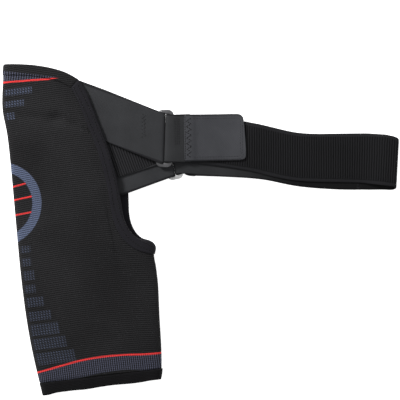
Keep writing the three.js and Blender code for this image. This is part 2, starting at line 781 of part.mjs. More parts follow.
const knitBlack = new THREE.MeshStandardMaterial({ color: 0x28282a, roughness: 0.95 });
const hemBlack = new THREE.MeshStandardMaterial({ color: 0x232325, roughness: 0.95 });
const tapeBlack = new THREE.MeshStandardMaterial({ color: 0x27272c, roughness: 0.85 });
const elasticGrey = new THREE.MeshStandardMaterial({ color: 0x434446, roughness: 0.8 });
const elasticBlack = new THREE.MeshStandardMaterial({ color: 0x202022, roughness: 0.85 });
const hookGrey = new THREE.MeshStandardMaterial({ color: 0x434348, roughness: 0.6 });
const wireGrey = new THREE.MeshStandardMaterial({ color: 0x6a6b6d, roughness: 0.35, metalness: 0.3 });
const wireBright = new THREE.MeshStandardMaterial({ color: 0x9b9b9b, roughness: 0.35, metalness: 0.3 });

const brace = new THREE.Group();

function addPiece(name, geometry, material) {
  const mesh = new THREE.Mesh(geometry, material);
  mesh.name = name;
  brace.add(mesh);
}

const tapes = tapeColumns();
addPiece("knit_sleeve", sleeveGeometry(), knitBlack);
addPiece("cuff_hem", cuffHemGeometry(), hemBlack);
addPiece("neck_hem", tapeGeometry(tapes.neck), hemBlack);
addPiece("edge_binding", tapeGeometry(tapes.opening), tapeBlack);
const frontLegs = { top: LEG_HEIGHTS[3], under: LEG_HEIGHTS[2] };
const backLegs = { top: LEG_HEIGHTS[1], under: LEG_HEIGHTS[0] };
addPiece("front_anchor_strap", anchorGeometry(frontRing, front, frontLegs), elasticGrey);
addPiece("back_anchor_strap", anchorGeometry(backRing, back, backLegs), elasticGrey);
addPiece("front_ring", ringGeometry(frontRing), wireGrey);
addPiece("back_ring", ringGeometry(backRing), wireBright);
addPiece("chest_strap", chestStrapGeometry(), elasticBlack);
addPiece("front_hook_tab", tabGeometry(frontRing, FRONT_TAB_LEAN, frontTabHeight), hookGrey);
addPiece("back_hook_tab", tabGeometry(backRing, REAR_TAB_LEAN, rearTabHeight), hookGrey);

// The origin is the middle of the whole part's footprint, on the surface it lies on
const extent = new THREE.Box3().setFromObject(brace);
const middle = extent.getCenter(new THREE.Vector3());
brace.position.set(-middle.x, -middle.y, -extent.min.z);
brace.updateMatrixWorld(true);

export default brace;
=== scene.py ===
import math
from functools import reduce

import bmesh
import bpy
import numpy as np
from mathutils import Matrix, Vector, noise
from mathutils.bvhtree import BVHTree


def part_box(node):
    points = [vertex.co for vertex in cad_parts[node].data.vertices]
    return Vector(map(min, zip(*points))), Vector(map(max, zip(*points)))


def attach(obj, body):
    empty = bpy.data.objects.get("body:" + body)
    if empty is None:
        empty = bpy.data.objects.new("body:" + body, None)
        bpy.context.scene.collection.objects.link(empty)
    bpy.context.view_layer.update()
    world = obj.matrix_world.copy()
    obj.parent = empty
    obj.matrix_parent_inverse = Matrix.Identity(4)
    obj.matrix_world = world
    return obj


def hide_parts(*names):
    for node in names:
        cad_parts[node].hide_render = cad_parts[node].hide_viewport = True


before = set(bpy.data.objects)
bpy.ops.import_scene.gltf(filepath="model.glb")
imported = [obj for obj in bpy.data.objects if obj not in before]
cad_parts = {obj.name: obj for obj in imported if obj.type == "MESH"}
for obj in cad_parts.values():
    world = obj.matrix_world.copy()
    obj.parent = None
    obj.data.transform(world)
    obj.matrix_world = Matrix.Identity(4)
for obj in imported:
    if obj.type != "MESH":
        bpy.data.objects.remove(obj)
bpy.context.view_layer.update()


# Camera and light.
# The brace lies on a white table and is photographed from straight above with a long lens,
# in a soft tent of light that leaves almost no shadow.

VIEW_MIDDLE = (-0.0002, 0.0303)
VIEW_WIDTH = 0.4167
CAMERA_HEIGHT = 1.6
BRACE_HEIGHT = 0.009

camera_data = bpy.data.cameras.new("Camera")
camera = bpy.data.objects.new("Camera", camera_data)
bpy.context.scene.collection.objects.link(camera)
camera.location = (*VIEW_MIDDLE, CAMERA_HEIGHT)
camera_data.sensor_width = 36
camera_data.lens = 36 * (CAMERA_HEIGHT - BRACE_HEIGHT) / VIEW_WIDTH
bpy.context.scene.camera = camera


def soft_lamp(name, place, size, power, towards=(-0.05, 0, 0)):
    """A large soft box, turned towards the brace."""
    data = bpy.data.lights.new(name, "AREA")
    data.shape = "DISK"
    data.size = size
    data.energy = power
    lamp = bpy.data.objects.new(name, data)
    bpy.context.scene.collection.objects.link(lamp)
    lamp.location = place
    aim = Vector(towards) - Vector(place)
    lamp.rotation_euler = aim.to_track_quat("-Z", "Y").to_euler()
    return lamp


soft_lamp("Key", (-1.1, 1.0, 0.85), 0.4, 40)
soft_lamp("Fill", (1.2, -0.5, 1.6), 1.4, 6)
soft_lamp("Back", (0.1, 1.5, 1.1), 1.2, 4)

world = bpy.data.worlds.new("Studio")
world.use_nodes = True
world.node_tree.nodes["Background"].inputs["Color"].default_value = (1, 1, 1, 1)
world.node_tree.nodes["Background"].inputs["Strength"].default_value = 0.5
bpy.context.scene.world = world
bpy.context.scene.view_settings.view_transform = "Standard"

bpy.ops.object.select_all(action="DESELECT")
bpy.ops.mesh.primitive_plane_add(size=6, location=(0, 0, 0))
table = bpy.context.object
table.name = "Floor"
table_paint = bpy.data.materials.new("White table")
table_paint.use_nodes = True
table_shader = table_paint.node_tree.nodes["Principled BSDF"]
table_shader.inputs["Base Color"].default_value = (0.93, 0.93, 0.93, 1)
table_shader.inputs["Roughness"].default_value = 0.9
table_shader.inputs["Emission Color"].default_value = (1, 1, 1, 1)
table_shader.inputs["Emission Strength"].default_value = 0.75
table.data.materials.append(table_paint)


# Knitted sleeve.
# One seamless tube of compression knit for the upper arm that widens into the shoulder cap. It is
# knitted round in black, with a slate ring, slate patches, rib bands and red lines knitted in.

SLEEVE_LEAN = math.radians(7)
COURSE = 0.00213
WALE = 0.0017
UP_ARM = Vector((-math.sin(SLEEVE_LEAN), math.cos(SLEEVE_LEAN), 0))
ROUND_ARM = Vector((math.cos(SLEEVE_LEAN), math.sin(SLEEVE_LEAN), 0))
CUFF_HEM_DEPTH = 0.0115

hem_low, hem_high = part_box("cuff_hem")
CUFF_MIDDLE = (hem_low + hem_high) / 2 - UP_ARM * (CUFF_HEM_DEPTH / 2)

KNIT_BLACK = (0.0205, 0.0202, 0.0214, 1)
# Painted shade for the grooves between the rows of loops
KNIT_PAINTED_GROOVE_SHADE = (0.0032, 0.0031, 0.0034, 1)
SLATE = (0.098, 0.120, 0.192, 1)
RIB_SLATE = (0.066, 0.070, 0.105, 1)
RED = (0.56, 0.034, 0.034, 1)

# Slate patches below and above the ring: the places where each starts and ends up the arm,
# and how far round from the fold it reaches, in mm
PATCHES = [
    {"low": 312.3, "high": 319.5, "reach": 35.0},
    {"low": 300.4, "high": 306.6, "reach": 26.6},
    {"low": 287.5, "high": 294.7, "reach": 16.0},
    {"low": 148.1, "high": 155.4, "reach": 17.0},
    {"low": 134.6, "high": 142.8, "reach": 16.5},
    {"low": 119.8, "high": 129.1, "reach": 18.0},
    {"low": 106.2, "high": 114.5, "reach": 17.6},
    {"low": 91.5, "high": 101.4, "reach": 24.7},
    {"low": 77.0, "high": 86.3, "reach": 30.2},
    {"low": 60.9, "high": 73.3, "reach": 36.2},
    {"low": 46.4, "high": 58.3, "reach": 40.7},
    {"low": 30.4, "high": 42.8, "reach": 46.7},
]
# Red line low on the sleeve and the top of the black hem under it, against the place round the arm
LOW_LINE = [
    {"round": -65.4, "line": 22.7, "hem": 9.4},
    {"round": -40.8, "line": 26.5, "hem": 11.0},
    {"round": -19.4, "line": 29.7, "hem": 12.6},
    {"round": 1.7, "line": 31.3, "hem": 14.6},
    {"round": 27.9, "line": 30.7, "hem": 15.0},
    {"round": 48.6, "line": 28.7, "hem": 12.0},
    {"round": 64.3, "line": 27.8, "hem": 12.2},
]
RED_BARS = [{"up": 217.4, "rise": 0.13}, {"up": 203.6, "rise": 0.09}, {"up": 188.1, "rise": 0.07}]


def cloth_copy(node, name, levels, sharp=50):
    """A finer copy of a soft node: its loose triangles merged into quads, then subdivided."""
    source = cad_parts[node]
    piece = bpy.data.objects.new(name, source.data.copy())
    piece.data.name = name
    piece.data.materials.clear()
    bpy.context.scene.collection.objects.link(piece)
    bm = bmesh.new()
    bm.from_mesh(piece.data)
    bmesh.ops.remove_doubles(bm, verts=bm.verts, dist=2e-6)
    bmesh.ops.join_triangles(
        bm,
        faces=bm.faces,
        angle_face_threshold=math.radians(30),
        angle_shape_threshold=math.radians(80),
    )
    crease = bm.edges.layers.float.new("crease_edge")
    for edge in bm.edges:
        if len(edge.link_faces) != 2 or edge.calc_face_angle(0) > math.radians(sharp):
            edge[crease] = 0.85
    bm.to_mesh(piece.data)
    bm.free()
    for old in list(piece.data.uv_layers):
        piece.data.uv_layers.remove(old)
    finer = piece.modifiers.new("Finer", "SUBSURF")
    finer.levels = levels
    finer.render_levels = levels
    apply_modifiers(piece)
    return piece


def pick(piece):
    bpy.ops.object.select_all(action="DESELECT")
    bpy.context.view_layer.objects.active = piece
    piece.select_set(True)


def apply_modifiers(piece):
    pick(piece)
    for modifier in list(piece.modifiers):
        bpy.ops.object.modifier_apply(modifier=modifier.name)


def smooth(piece, angle=50):
    pick(piece)
    bpy.ops.object.shade_smooth_by_angle(angle=math.radians(angle))


def move_points(piece, shift):
    """Moves each point of the mesh by what shift gives for its place."""
    for vertex in piece.data.vertices:
        vertex.co += shift(vertex.co)
    piece.data.update()


def fabric_map(piece, place):
    """A map in metres on the cloth; place gives it for a point, its face's middle and normal."""
    layer = piece.data.uv_layers.new(name="fabric")
    vertices = piece.data.vertices
    for face in piece.data.polygons:
        for n in face.loop_indices:
            co = vertices[piece.data.loops[n].vertex_index].co
            layer.data[n].uv = place(co, face.center, face.normal)


def on_sleeve(co):
    """Place round the arm and up it, in metres, flat on the table."""
    flat = co - CUFF_MIDDLE
    return flat.dot(ROUND_ARM), flat.dot(UP_ARM)


def fold_line(piece):
    """The outer fold's place round the arm and height, at even steps up the sleeve."""
    points = np.array([(*on_sleeve(v.co), v.co.z) for v in piece.data.vertices])
    steps = np.linspace(points[:, 1].min() + 0.003, points[:, 1].max() - 0.003, 40)
    out, high = [], []
    for step in steps:
        near = points[np.abs(points[:, 1] - step) < 0.006]
        left = near[near[:, 0] < near[:, 0].min() + 0.0008]
        out.append(left[:, 0].mean())
        high.append(left[:, 2].mean())
    return steps, np.array(out), np.array(high)


FOLD_BEND = 0.00635
sleeve = cloth_copy("knit_sleeve", "sleeve_knit", 2)
fold_up, fold_out, fold_high = fold_line(sleeve)


def round_sleeve(co, middle, normal):
    across, up = on_sleeve(co)
    inward = max(across - np.interp(up, fold_up, fold_out), 0)
    height = co.z - np.interp(up, fold_up, fold_high)
    centre_height = middle.z - np.interp(up, fold_up, fold_high)
    side = 1 if centre_height > 0 else -1
    if inward < FOLD_BEND:
        distance = FOLD_BEND * math.atan2(abs(height), FOLD_BEND - inward)
        side = 1 if height > 0 else -1
    else:
        distance = FOLD_BEND * math.pi / 2 + inward - FOLD_BEND
    return side * distance, up


def bulge(distance, width):
    return math.exp(-((distance / width) ** 2))


def ramp(value, start, span):
    """0 up to the start, 1 past the span, and straight between."""
    return min(1, max(0, (value - start) / span))


def middle_of(node):
    low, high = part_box(node)
    return (low + high) / 2


# Dents and soft creases of the front panel: middle round and up the arm, half length, half width,
# turn from the round direction in degrees, and height, in mm
CREASES = [
    {"round": -12.6, "up": 283, "long": 8, "wide": 4.6, "turn": -15, "high": -3.6},
    {"round": -34, "up": 287, "long": 22, "wide": 3.2, "turn": -12, "high": -1.3},
    {"round": 12, "up": 272, "long": 17, "wide": 3.4, "turn": -22, "high": -1.6},
    {"round": -30, "up": 294, "long": 24, "wide": 5, "turn": -12, "high": 0.7},
    {"round": 14, "up": 262, "long": 22, "wide": 6, "turn": -24, "high": 0.6},
    {"round": 20, "up": 240, "long": 26, "wide": 8, "turn": -70, "high": 0.9},
    {"round": 44, "up": 150, "long": 22, "wide": 6, "turn": -36, "high": 0.9},
    {"round": 36, "up": 136, "long": 20, "wide": 4, "turn": -30, "high": -0.8},
    {"round": 50, "up": 118, "long": 18, "wide": 5, "turn": -12, "high": -0.35},
    {"round": -38, "up": 172, "long": 26, "wide": 7, "turn": 12, "high": 0.7},
    {"round": -30, "up": 60, "long": 34, "wide": 8, "turn": 5, "high": 0.35},
    {"round": 30, "up": 48, "long": 26, "wide": 6, "turn": -8, "high": -0.35},
    {"round": 50, "up": 22, "long": 10, "wide": 5, "turn": 30, "high": 0.5},
]


def sleeve_ease(co):
    """How far the knit's front rises or sinks at a place, in metres."""
    across, up = on_sleeve(co)
    rise = 0
    for crease in CREASES:
        away = Vector((across * 1000 - crease["round"], up * 1000 - crease["up"]))
        turn = math.radians(crease["turn"])
        along = away.x * math.cos(turn) + away.y * math.sin(turn)
        aside = -away.x * math.sin(turn) + away.y * math.cos(turn)
        rise += crease["high"] * bulge(along, crease["long"]) * bulge(aside, crease["wide"])
    rise += 0.35 * noise.noise(Vector((across * 22, up * 16, 3.1)))
    rise += 0.15 * noise.noise(Vector((across * 60, up * 45, 7.7)))
    return rise * 0.001 * ramp(up, CUFF_HEM_DEPTH + 0.0005, 0.02)


# Near the bound edges and the hems the knit is held flat, so the creases die out there
opening_points = np.array([v.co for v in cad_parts["edge_binding"].data.vertices])
neck_points = np.array([v.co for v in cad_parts["neck_hem"].data.vertices])
held_points = np.vstack([opening_points, neck_points])[:, :2]


def away_from_edges(co):
    nearest = np.sqrt(((held_points - np.array((co.x, co.y))) ** 2).sum(1).min())
    return ramp(nearest, 0.002, 0.012)


def crease_front(co):
    across, up = on_sleeve(co)
    high = co.z - np.interp(up, fold_up, fold_high)
    if high <= 0.0015:
        return Vector((0, 0, 0))
    share = min(1, (high - 0.0015) / 0.003)
    return Vector((0, 0, sleeve_ease(co) * share * away_from_edges(co)))


# The tape's ends are gathered at the armpit: the edge stands up there in a small lump, and the
# knit is pulled in under it
ARMPIT_LUMP = Vector((-0.0536, -0.0150, 0))
ARMPIT_NIP = Vector((-0.0470, -0.0290, 0))
ARMPIT_KNOB = Vector((-0.0470, -0.0195, 0))


def armpit_gather(co):
    flat = Vector((co.x, co.y, 0))
    lump = bulge((flat - ARMPIT_LUMP).length, 0.0065)
    nip = bulge((flat - ARMPIT_NIP).length, 0.0065)
    knob = bulge((flat - ARMPIT_KNOB).length, 0.0045)
    return Vector((0.0006 * lump - 0.0022 * nip + 0.0017 * knob, 0.0026 * lump, 0))


# The corner where the neck line meets the front edge stands a little higher than the plain cut
NECK_CORNER = Vector((-0.111, 0.143, 0))


def neck_corner(co):
    near = bulge((Vector((co.x, co.y, 0)) - NECK_CORNER).length, 0.02)
    return Vector((0.0008 * near, 0.0022 * near, 0))


move_points(sleeve, crease_front)
move_points(sleeve, armpit_gather)
move_points(sleeve, neck_corner)
fabric_map(sleeve, round_sleeve)
smooth(sleeve)


def maths(operation, *values, clamp=False):
    """A Math node beside its values, each of them a number or another node's output."""
    tree = next(v for v in values if not isinstance(v, (int, float))).id_data
    node = tree.nodes.new("ShaderNodeMath")
    node.operation = operation
    node.use_clamp = clamp
    for socket, value in zip(node.inputs, values):
        if isinstance(value, (int, float)):
            socket.default_value = value
        else:
            tree.links.new(value, socket)
    return node.outputs[0]


def add(first, *others):
    return reduce(lambda a, b: maths("ADD", a, b), others, first)


def times(first, *others):
    return reduce(lambda a, b: maths("MULTIPLY", a, b), others, first)


def minus(first, second):
    return maths("SUBTRACT", first, second)


def edge_step(value, threshold, softness):
    """0 below the threshold and 1 above it, over a narrow soft edge."""
    tree = value.id_data
    node = tree.nodes.new("ShaderNodeMapRange")
    node.interpolation_type = "SMOOTHSTEP"
    tree.links.new(value, node.inputs["Value"])
    for name, offset in (("From Min", -softness), ("From Max", softness)):
        if isinstance(threshold, (int, float)):
            node.inputs[name].default_value = threshold + offset
        else:
            tree.links.new(add(threshold, offset), node.inputs[name])
    return node.outputs["Result"]


def new_group(name, inputs, outputs):
    """A shader node group with named number inputs and outputs."""
    group = bpy.data.node_groups.new(name, "ShaderNodeTree")
    for label, value in inputs.items():
        socket = group.interface.new_socket(label, in_out="INPUT", socket_type="NodeSocketFloat")
        socket.default_value = value
    for label in outputs:
        group.interface.new_socket(label, in_out="OUTPUT", socket_type="NodeSocketFloat")
    return group, group.nodes.new("NodeGroupInput"), group.nodes.new("NodeGroupOutput")


def place_group(tree, group, **values):
    node = tree.nodes.new("ShaderNodeGroup")
    node.node_tree = group
    for label, value in values.items():
        socket = node.inputs[label.replace("_", " ")]
        if isinstance(value, (int, float)):
            socket.default_value = value
        else:
            tree.links.new(value, socket)
    return node.outputs


def colour_mix(share, first, second):
    tree = share.id_data
    node = tree.nodes.new("ShaderNodeMix")
    node.data_type = "RGBA"
    sockets = {s.identifier: s for s in node.inputs}
    for socket, value in (
        (sockets["Factor_Float"], share),
        (sockets["A_Color"], first),
        (sockets["B_Color"], second),
    ):
        if isinstance(value, (int, float, tuple)):
            socket.default_value = value
        else:
            tree.links.new(value, socket)
    return next(s for s in node.outputs if s.identifier == "Result_Color")


def noise_of(tree, scale, detail=2.0, roughness=0.5, vector=None):
    node = tree.nodes.new("ShaderNodeTexNoise")
    node.inputs["Scale"].default_value = scale
    node.inputs["Detail"].default_value = detail
    node.inputs["Roughness"].default_value = roughness
    if vector is None:
        vector = tree.nodes.new("ShaderNodeTexCoord").outputs["Object"]
    tree.links.new(vector, node.inputs["Vector"])
    return node.outputs["Fac"]


def map_places(tree):
    """The two outputs of the piece's own map, along or round it, and across or up it."""
    uv = tree.nodes.new("ShaderNodeUVMap")
    uv.uv_map = "fabric"
    split = tree.nodes.new("ShaderNodeSeparateXYZ")
    tree.links.new(uv.outputs["UV"], split.inputs[0])
    return split.outputs["X"], split.outputs["Y"]


def cloth_material(name, roughness=0.9, sheen=0.05, sheen_roughness=0.5):
    material = bpy.data.materials.new(name)
    material.use_nodes = True
    shader = material.node_tree.nodes["Principled BSDF"]
    shader.inputs["Roughness"].default_value = roughness
    shader.inputs["Sheen Weight"].default_value = sheen
    shader.inputs["Sheen Roughness"].default_value = sheen_roughness
    shader.inputs["Specular IOR Level"].default_value = 0.08
    return material, material.node_tree, shader


def bump_on(shader, height, distance, strength=1.0, under=None):
    tree = height.id_data
    bump = tree.nodes.new("ShaderNodeBump")
    bump.inputs["Distance"].default_value = distance
    bump.inputs["Strength"].default_value = strength
    tree.links.new(height, bump.inputs["Height"])
    if under is not None:
        tree.links.new(under, bump.inputs["Normal"])
    if shader is not None:
        tree.links.new(bump.outputs["Normal"], shader.inputs["Normal"])
    return bump.outputs["Normal"]


# Knit: rows of loops, each row a soft ridge with a pair of slanted legs in every loop. The rows
# bow a little, because the sleeve widens upwards
ARM_MIDDLE = 0.072
ROW_BOW = 0.7
ROW_WANDER = 0.3
LEG_SLANT = 0.22
knit_group, knit_in, knit_out = new_group(
    "Knit", {"Round": 0, "Up": 0, "Course": COURSE, "Wale": WALE}, ["Height", "GrooveShade"]
)
knit_wobble = noise_of(knit_group, 55, 2)
from_middle = minus(maths("ABSOLUTE", knit_in.outputs["Round"]), ARM_MIDDLE)
bowed = add(knit_in.outputs["Up"], times(from_middle, from_middle, ROW_BOW))
row = add(maths("DIVIDE", bowed, knit_in.outputs["Course"]), times(knit_wobble, ROW_WANDER))
stitch = maths("DIVIDE", knit_in.outputs["Round"], knit_in.outputs["Wale"])
leg = maths("ABSOLUTE", maths("SINE", times(stitch, math.pi)))
slanted = add(row, times(leg, LEG_SLANT))
ridge = maths("ABSOLUTE", maths("SINE", times(slanted, math.pi)))
loop_height = add(times(ridge, 0.8), times(leg, 0.2))
knit_group.links.new(loop_height, knit_out.inputs["Height"])
# The groove output is painted shade: it darkens the colour between the rows of loops
groove_shade = minus(1.0, maths("POWER", ridge, 0.9))
knit_group.links.new(groove_shade, knit_out.inputs["GrooveShade"])

# Patch of slate loops: a band between two rows, from just past the fold towards the body. Its
# edges fray less across the rows than along them
PATCH_START = 0.0065
ROW_FRAY = 0.0004
SIDE_FRAY = 0.0006
FOLD_FRAY = 0.0012
patch_group, patch_in, patch_out = new_group(
    "Slate patch", {"Round": 0, "Up": 0, "Low": 0.0, "High": 0.01, "Reach": 0.02}, ["Mask"]
)
above = edge_step(minus(patch_in.outputs["Up"], patch_in.outputs["Low"]), 0, ROW_FRAY)
below = edge_step(minus(patch_in.outputs["High"], patch_in.outputs["Up"]), 0, ROW_FRAY)
inside = edge_step(minus(patch_in.outputs["Reach"], patch_in.outputs["Round"]), 0, SIDE_FRAY)
off_fold = edge_step(patch_in.outputs["Round"], PATCH_START, FOLD_FRAY)
patch_group.links.new(times(above, below, inside, off_fold), patch_out.inputs["Mask"])

# Slight fading and lint that every cloth here has
lint_group, lint_in, lint_out = new_group("Lint", {"Scale": 40, "Strength": 0.3}, ["Shade", "Speck"])
lint_coord = lint_group.nodes.new("ShaderNodeTexCoord").outputs["Object"]
lint_broad = lint_group.nodes.new("ShaderNodeTexNoise")
lint_group.links.new(lint_coord, lint_broad.inputs["Vector"])
lint_group.links.new(lint_in.outputs["Scale"], lint_broad.inputs["Scale"])
lint_broad.inputs["Detail"].default_value = 4
lint_shade = times(minus(lint_broad.outputs["Fac"], 0.5), lint_in.outputs["Strength"])
lint_group.links.new(maths("ADD", lint_shade, 0.5, clamp=True), lint_out.inputs["Shade"])
lint_fine = noise_of(lint_group, 900, 1, 0.6, lint_coord)
lint_group.links.new(edge_step(lint_fine, 0.72, 0.03), lint_out.inputs["Speck"])

knit, knit_tree, knit_shader = cloth_material("Patterned compression knit", 0.92, 0.02)
around, up_arm = map_places(knit_tree)
knit_loops = place_group(knit_tree, knit_group, Round=around, Up=up_arm)
knit_lint = place_group(knit_tree, lint_group, Scale=18, Strength=0.7)
knit_fade = noise_of(knit_tree, 14, 3)
knit_light = colour_mix(edge_step(knit_fade, 0.5, 0.25), (0.0135, 0.0132, 0.014, 1), KNIT_BLACK)
# The grooves between rows are painted in the darker colour, as shade
base = colour_mix(knit_loops["GrooveShade"], knit_light, KNIT_PAINTED_GROOVE_SHADE)

# Dots of the patches: slanted pairs of slate loops between black ones. Above the ring they are
# lighter than below it
DOT_WIDTH = 0.0029
DOT_HEIGHT = 0.0058
RING_PLACE = (-0.0106, 0.2014)
dot_slant = add(around, times(up_arm, 0.5))
dot_a = maths("SINE", times(dot_slant, 2 * math.pi / DOT_WIDTH))
dot_b = maths("SINE", times(up_arm, 2 * math.pi / DOT_HEIGHT))
dots = edge_step(times(dot_a, dot_b), 0.4, 0.3)
upper_patches = edge_step(up_arm, 0.2, 0.01)
dot_share = add(times(upper_patches, 0.3), 0.42)
dots = times(add(times(dots, 0.9), 0.1), dot_share)

# The patches are mirrored about the ring's middle line, so the rear panel has its own
patch_round = add(maths("ABSOLUTE", minus(around, RING_PLACE[0])), RING_PLACE[0])
patches = None
for patch in PATCHES:
    mask = place_group(
        knit_tree,
        patch_group,
        Round=patch_round,
        Up=up_arm,
        Low=patch["low"] / 1000,
        High=patch["high"] / 1000,
        Reach=patch["reach"] / 1000,
    )["Mask"]
    patches = mask if patches is None else maths("MAXIMUM", patches, mask)
patch_colour = times(patches, dots)

# Slate ring at the shoulder joint, mostly on the front, its middle just past the fold
RING_OUTER = 0.0434
RING_INNER = 0.0338
BAND_FRAY = 0.0005
LINE_FRAY = 0.0003
from_ring_x = minus(around, RING_PLACE[0])
from_ring_y = minus(up_arm, RING_PLACE[1])
from_ring = maths("SQRT", add(times(from_ring_x, from_ring_x), times(from_ring_y, from_ring_y)))
in_outer = edge_step(times(from_ring, -1.0), -RING_OUTER, BAND_FRAY)
in_inner = edge_step(times(from_ring, -1.0), -RING_INNER, BAND_FRAY)
# The slate is kept off the grooves, which stay dark as painted shade
ring_rows = minus(1.0, times(knit_loops["GrooveShade"], 0.95))
ring_colour = times(minus(in_outer, in_inner), ring_rows)

# Rib bands at both ends of the sleeve, beyond the red lines. The low one lies between two curves;
# the top one starts at its red line and narrows to nothing towards the body
low_curve = knit_tree.nodes.new("ShaderNodeFloatCurve")
hem_curve = knit_tree.nodes.new("ShaderNodeFloatCurve")
CURVE_SPAN = 0.16
CURVE_HEIGHT = 0.05
from_fold_line = maths("ABSOLUTE", around)
for node, key in ((low_curve, "line"), (hem_curve, "hem")):
    points = node.mapping.curves[0].points
    while len(points) < len(LOW_LINE):
        points.new(0.5, 0.5)
    for point, row_place in zip(points, LOW_LINE):
        from_fold = row_place["round"] - LOW_LINE[0]["round"] + 2
        point.location = (from_fold / 1000 / CURVE_SPAN, row_place[key] / 1000 / CURVE_HEIGHT)
    node.mapping.update()
    knit_tree.links.new(maths("DIVIDE", from_fold_line, CURVE_SPAN), node.inputs["Value"])
line_up = times(low_curve.outputs[0], CURVE_HEIGHT)
hem_up = times(hem_curve.outputs[0], CURVE_HEIGHT)
under_line = edge_step(minus(line_up, up_arm), 0, BAND_FRAY)
over_hem = edge_step(minus(up_arm, hem_up), 0, BAND_FRAY)
low_band = times(under_line, over_hem)
TOP_LINE = 0.3270
TOP_LINE_FALL = 0.045
TOP_LINE_HALF = 0.0009
TOP_BAND = 0.0125
TOP_BAND_TAPER = 0.185
TOP_BAND_END = 0.060
LOW_RIB = 0.0022
TOP_RIB = 0.00274
above_line = minus(add(up_arm, times(from_fold_line, TOP_LINE_FALL)), TOP_LINE)
over_line = edge_step(above_line, TOP_LINE_HALF, ROW_FRAY)
band_top = minus(TOP_BAND, times(from_fold_line, TOP_BAND_TAPER))
under_top = edge_step(minus(band_top, above_line), 0, BAND_FRAY)
before_end = edge_step(minus(TOP_BAND_END, from_fold_line), 0, 0.001)
top_band = times(over_line, under_top, before_end)
rib_slant = minus(around, times(up_arm, 0.12))
low_ribs = maths("SINE", times(rib_slant, 2 * math.pi / LOW_RIB))
top_ribs = maths("SINE", times(around, 2 * math.pi / TOP_RIB))
ribs = add(times(low_ribs, low_band), times(top_ribs, top_band))
rib_mask = edge_step(ribs, 0.0, 0.45)
# The rib colour is halved in the grooves, as painted shade
rib_rows = minus(1.0, times(knit_loops["GrooveShade"], 0.5))
rib_mask = times(add(times(rib_mask, 0.95), 0.05), rib_rows)
bands = maths("MAXIMUM", low_band, top_band)
band_colour = times(bands, rib_mask)

# Red lines: one at each end of the sleeve and three bars inside the ring
LOW_LINE_HALF = 0.00095
BAR_HALF = 0.0008
TOP_LINE_TIP = 0.0625
low_red = edge_step(times(maths("ABSOLUTE", minus(up_arm, line_up)), -1.0), -LOW_LINE_HALF, LINE_FRAY)
line_half = maths("MINIMUM", times(minus(TOP_LINE_TIP, from_fold_line), 0.10), TOP_LINE_HALF)
top_red = edge_step(minus(line_half, maths("ABSOLUTE", above_line)), 0, LINE_FRAY)
red = maths("MAXIMUM", low_red, top_red)
for bar in RED_BARS:
    bar_up = add(times(around, bar["rise"]), bar["up"] / 1000)
    near_bar = maths("ABSOLUTE", minus(up_arm, bar_up))
    in_bar = edge_step(times(near_bar, -1.0), -BAR_HALF, LINE_FRAY)
    red = maths("MAXIMUM", red, times(in_bar, in_inner))

slate_shade = colour_mix(knit_lint["Shade"], (0.078, 0.096, 0.152, 1), SLATE)
coloured = colour_mix(patch_colour, base, slate_shade)
coloured = colour_mix(ring_colour, coloured, slate_shade)
coloured = colour_mix(band_colour, coloured, RIB_SLATE)
coloured = colour_mix(red, coloured, RED)
faded = colour_mix(times(knit_lint["Speck"], 0.25), coloured, (0.09, 0.09, 0.1, 1))
knit_tree.links.new(faded, knit_shader.inputs["Base Color"])
bump_on(knit_shader, add(knit_loops["Height"], times(bands, ribs, 0.8)), 0.0005, 0.8)
sleeve.data.materials.append(knit)

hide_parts("knit_sleeve")
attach(sleeve, "root")


# Cuff hem and neck hem.
# Both ends of the knitted tube are turned in and stitched down: a deeper doubled hem at the arm
# and a narrow one along the neck line, over which the sleeve's rib band still runs. Same yarn as
# the sleeve.

HEM_BLACK = (0.0046, 0.0043, 0.0049, 1)
# Painted shade for the grooves between the hem's rows of loops
HEM_PAINTED_GROOVE_SHADE = (0.0016, 0.0015, 0.0018, 1)

cuff_hem = cloth_copy("cuff_hem", "cuff_hem_knit", 2)
neck_hem = cloth_copy("neck_hem", "neck_hem_knit", 2)


def hem_ease(co):
    """The hem's soft waves; at the inner fold's corner it puckers up."""
    across, up = on_sleeve(co)
    wave = 0.0004 * math.sin(across * 120 + 0.6) + 0.0006 * noise.noise(Vector((across * 60, 2.5, 0)))
    pucker = 0.0008 * bulge(across * 1000 - 58, 6)
    front = 1 if co.z > 0.006 else 0
    low = max(0, 1 - up / 0.006)
    side = ROUND_ARM * 0.0012 * bulge(across * 1000 - 62, 6) * (1 if across > 0 else 0)
    droop = UP_ARM * -0.0021 * bulge(across * 1000 + 58, 11) * low
    return UP_ARM * wave * low + droop + side + Vector((0, 0, (abs(wave) + pucker) * front))


move_points(cuff_hem, hem_ease)
move_points(neck_hem, neck_corner)
for hem in (cuff_hem, neck_hem):
    fabric_map(hem, round_sleeve)
    smooth(hem)

hem_knit, hem_tree, hem_shader = cloth_material("Doubled black knit", 0.93, 0.02)
hem_round, hem_along = map_places(hem_tree)
hem_loops = place_group(hem_tree, knit_group, Round=hem_round, Up=hem_along, Course=0.0016, Wale=0.0012)
hem_lint = place_group(hem_tree, lint_group, Scale=30, Strength=0.8)
# The grooves between rows are painted darker, as shade
hem_base = colour_mix(hem_loops["GrooveShade"], HEM_BLACK, HEM_PAINTED_GROOVE_SHADE)
hem_base = colour_mix(times(hem_lint["Shade"], 0.35), hem_base, (0.0105, 0.0100, 0.0115, 1))
hem_tree.links.new(hem_base, hem_shader.inputs["Base Color"])
bump_on(hem_shader, hem_loops["Height"], 0.0004, 0.7)

for hem, node, cloth in ((cuff_hem, "cuff_hem", hem_knit), (neck_hem, "neck_hem", knit)):
    hem.data.materials.append(cloth)
    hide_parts(node)
    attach(hem, "root")


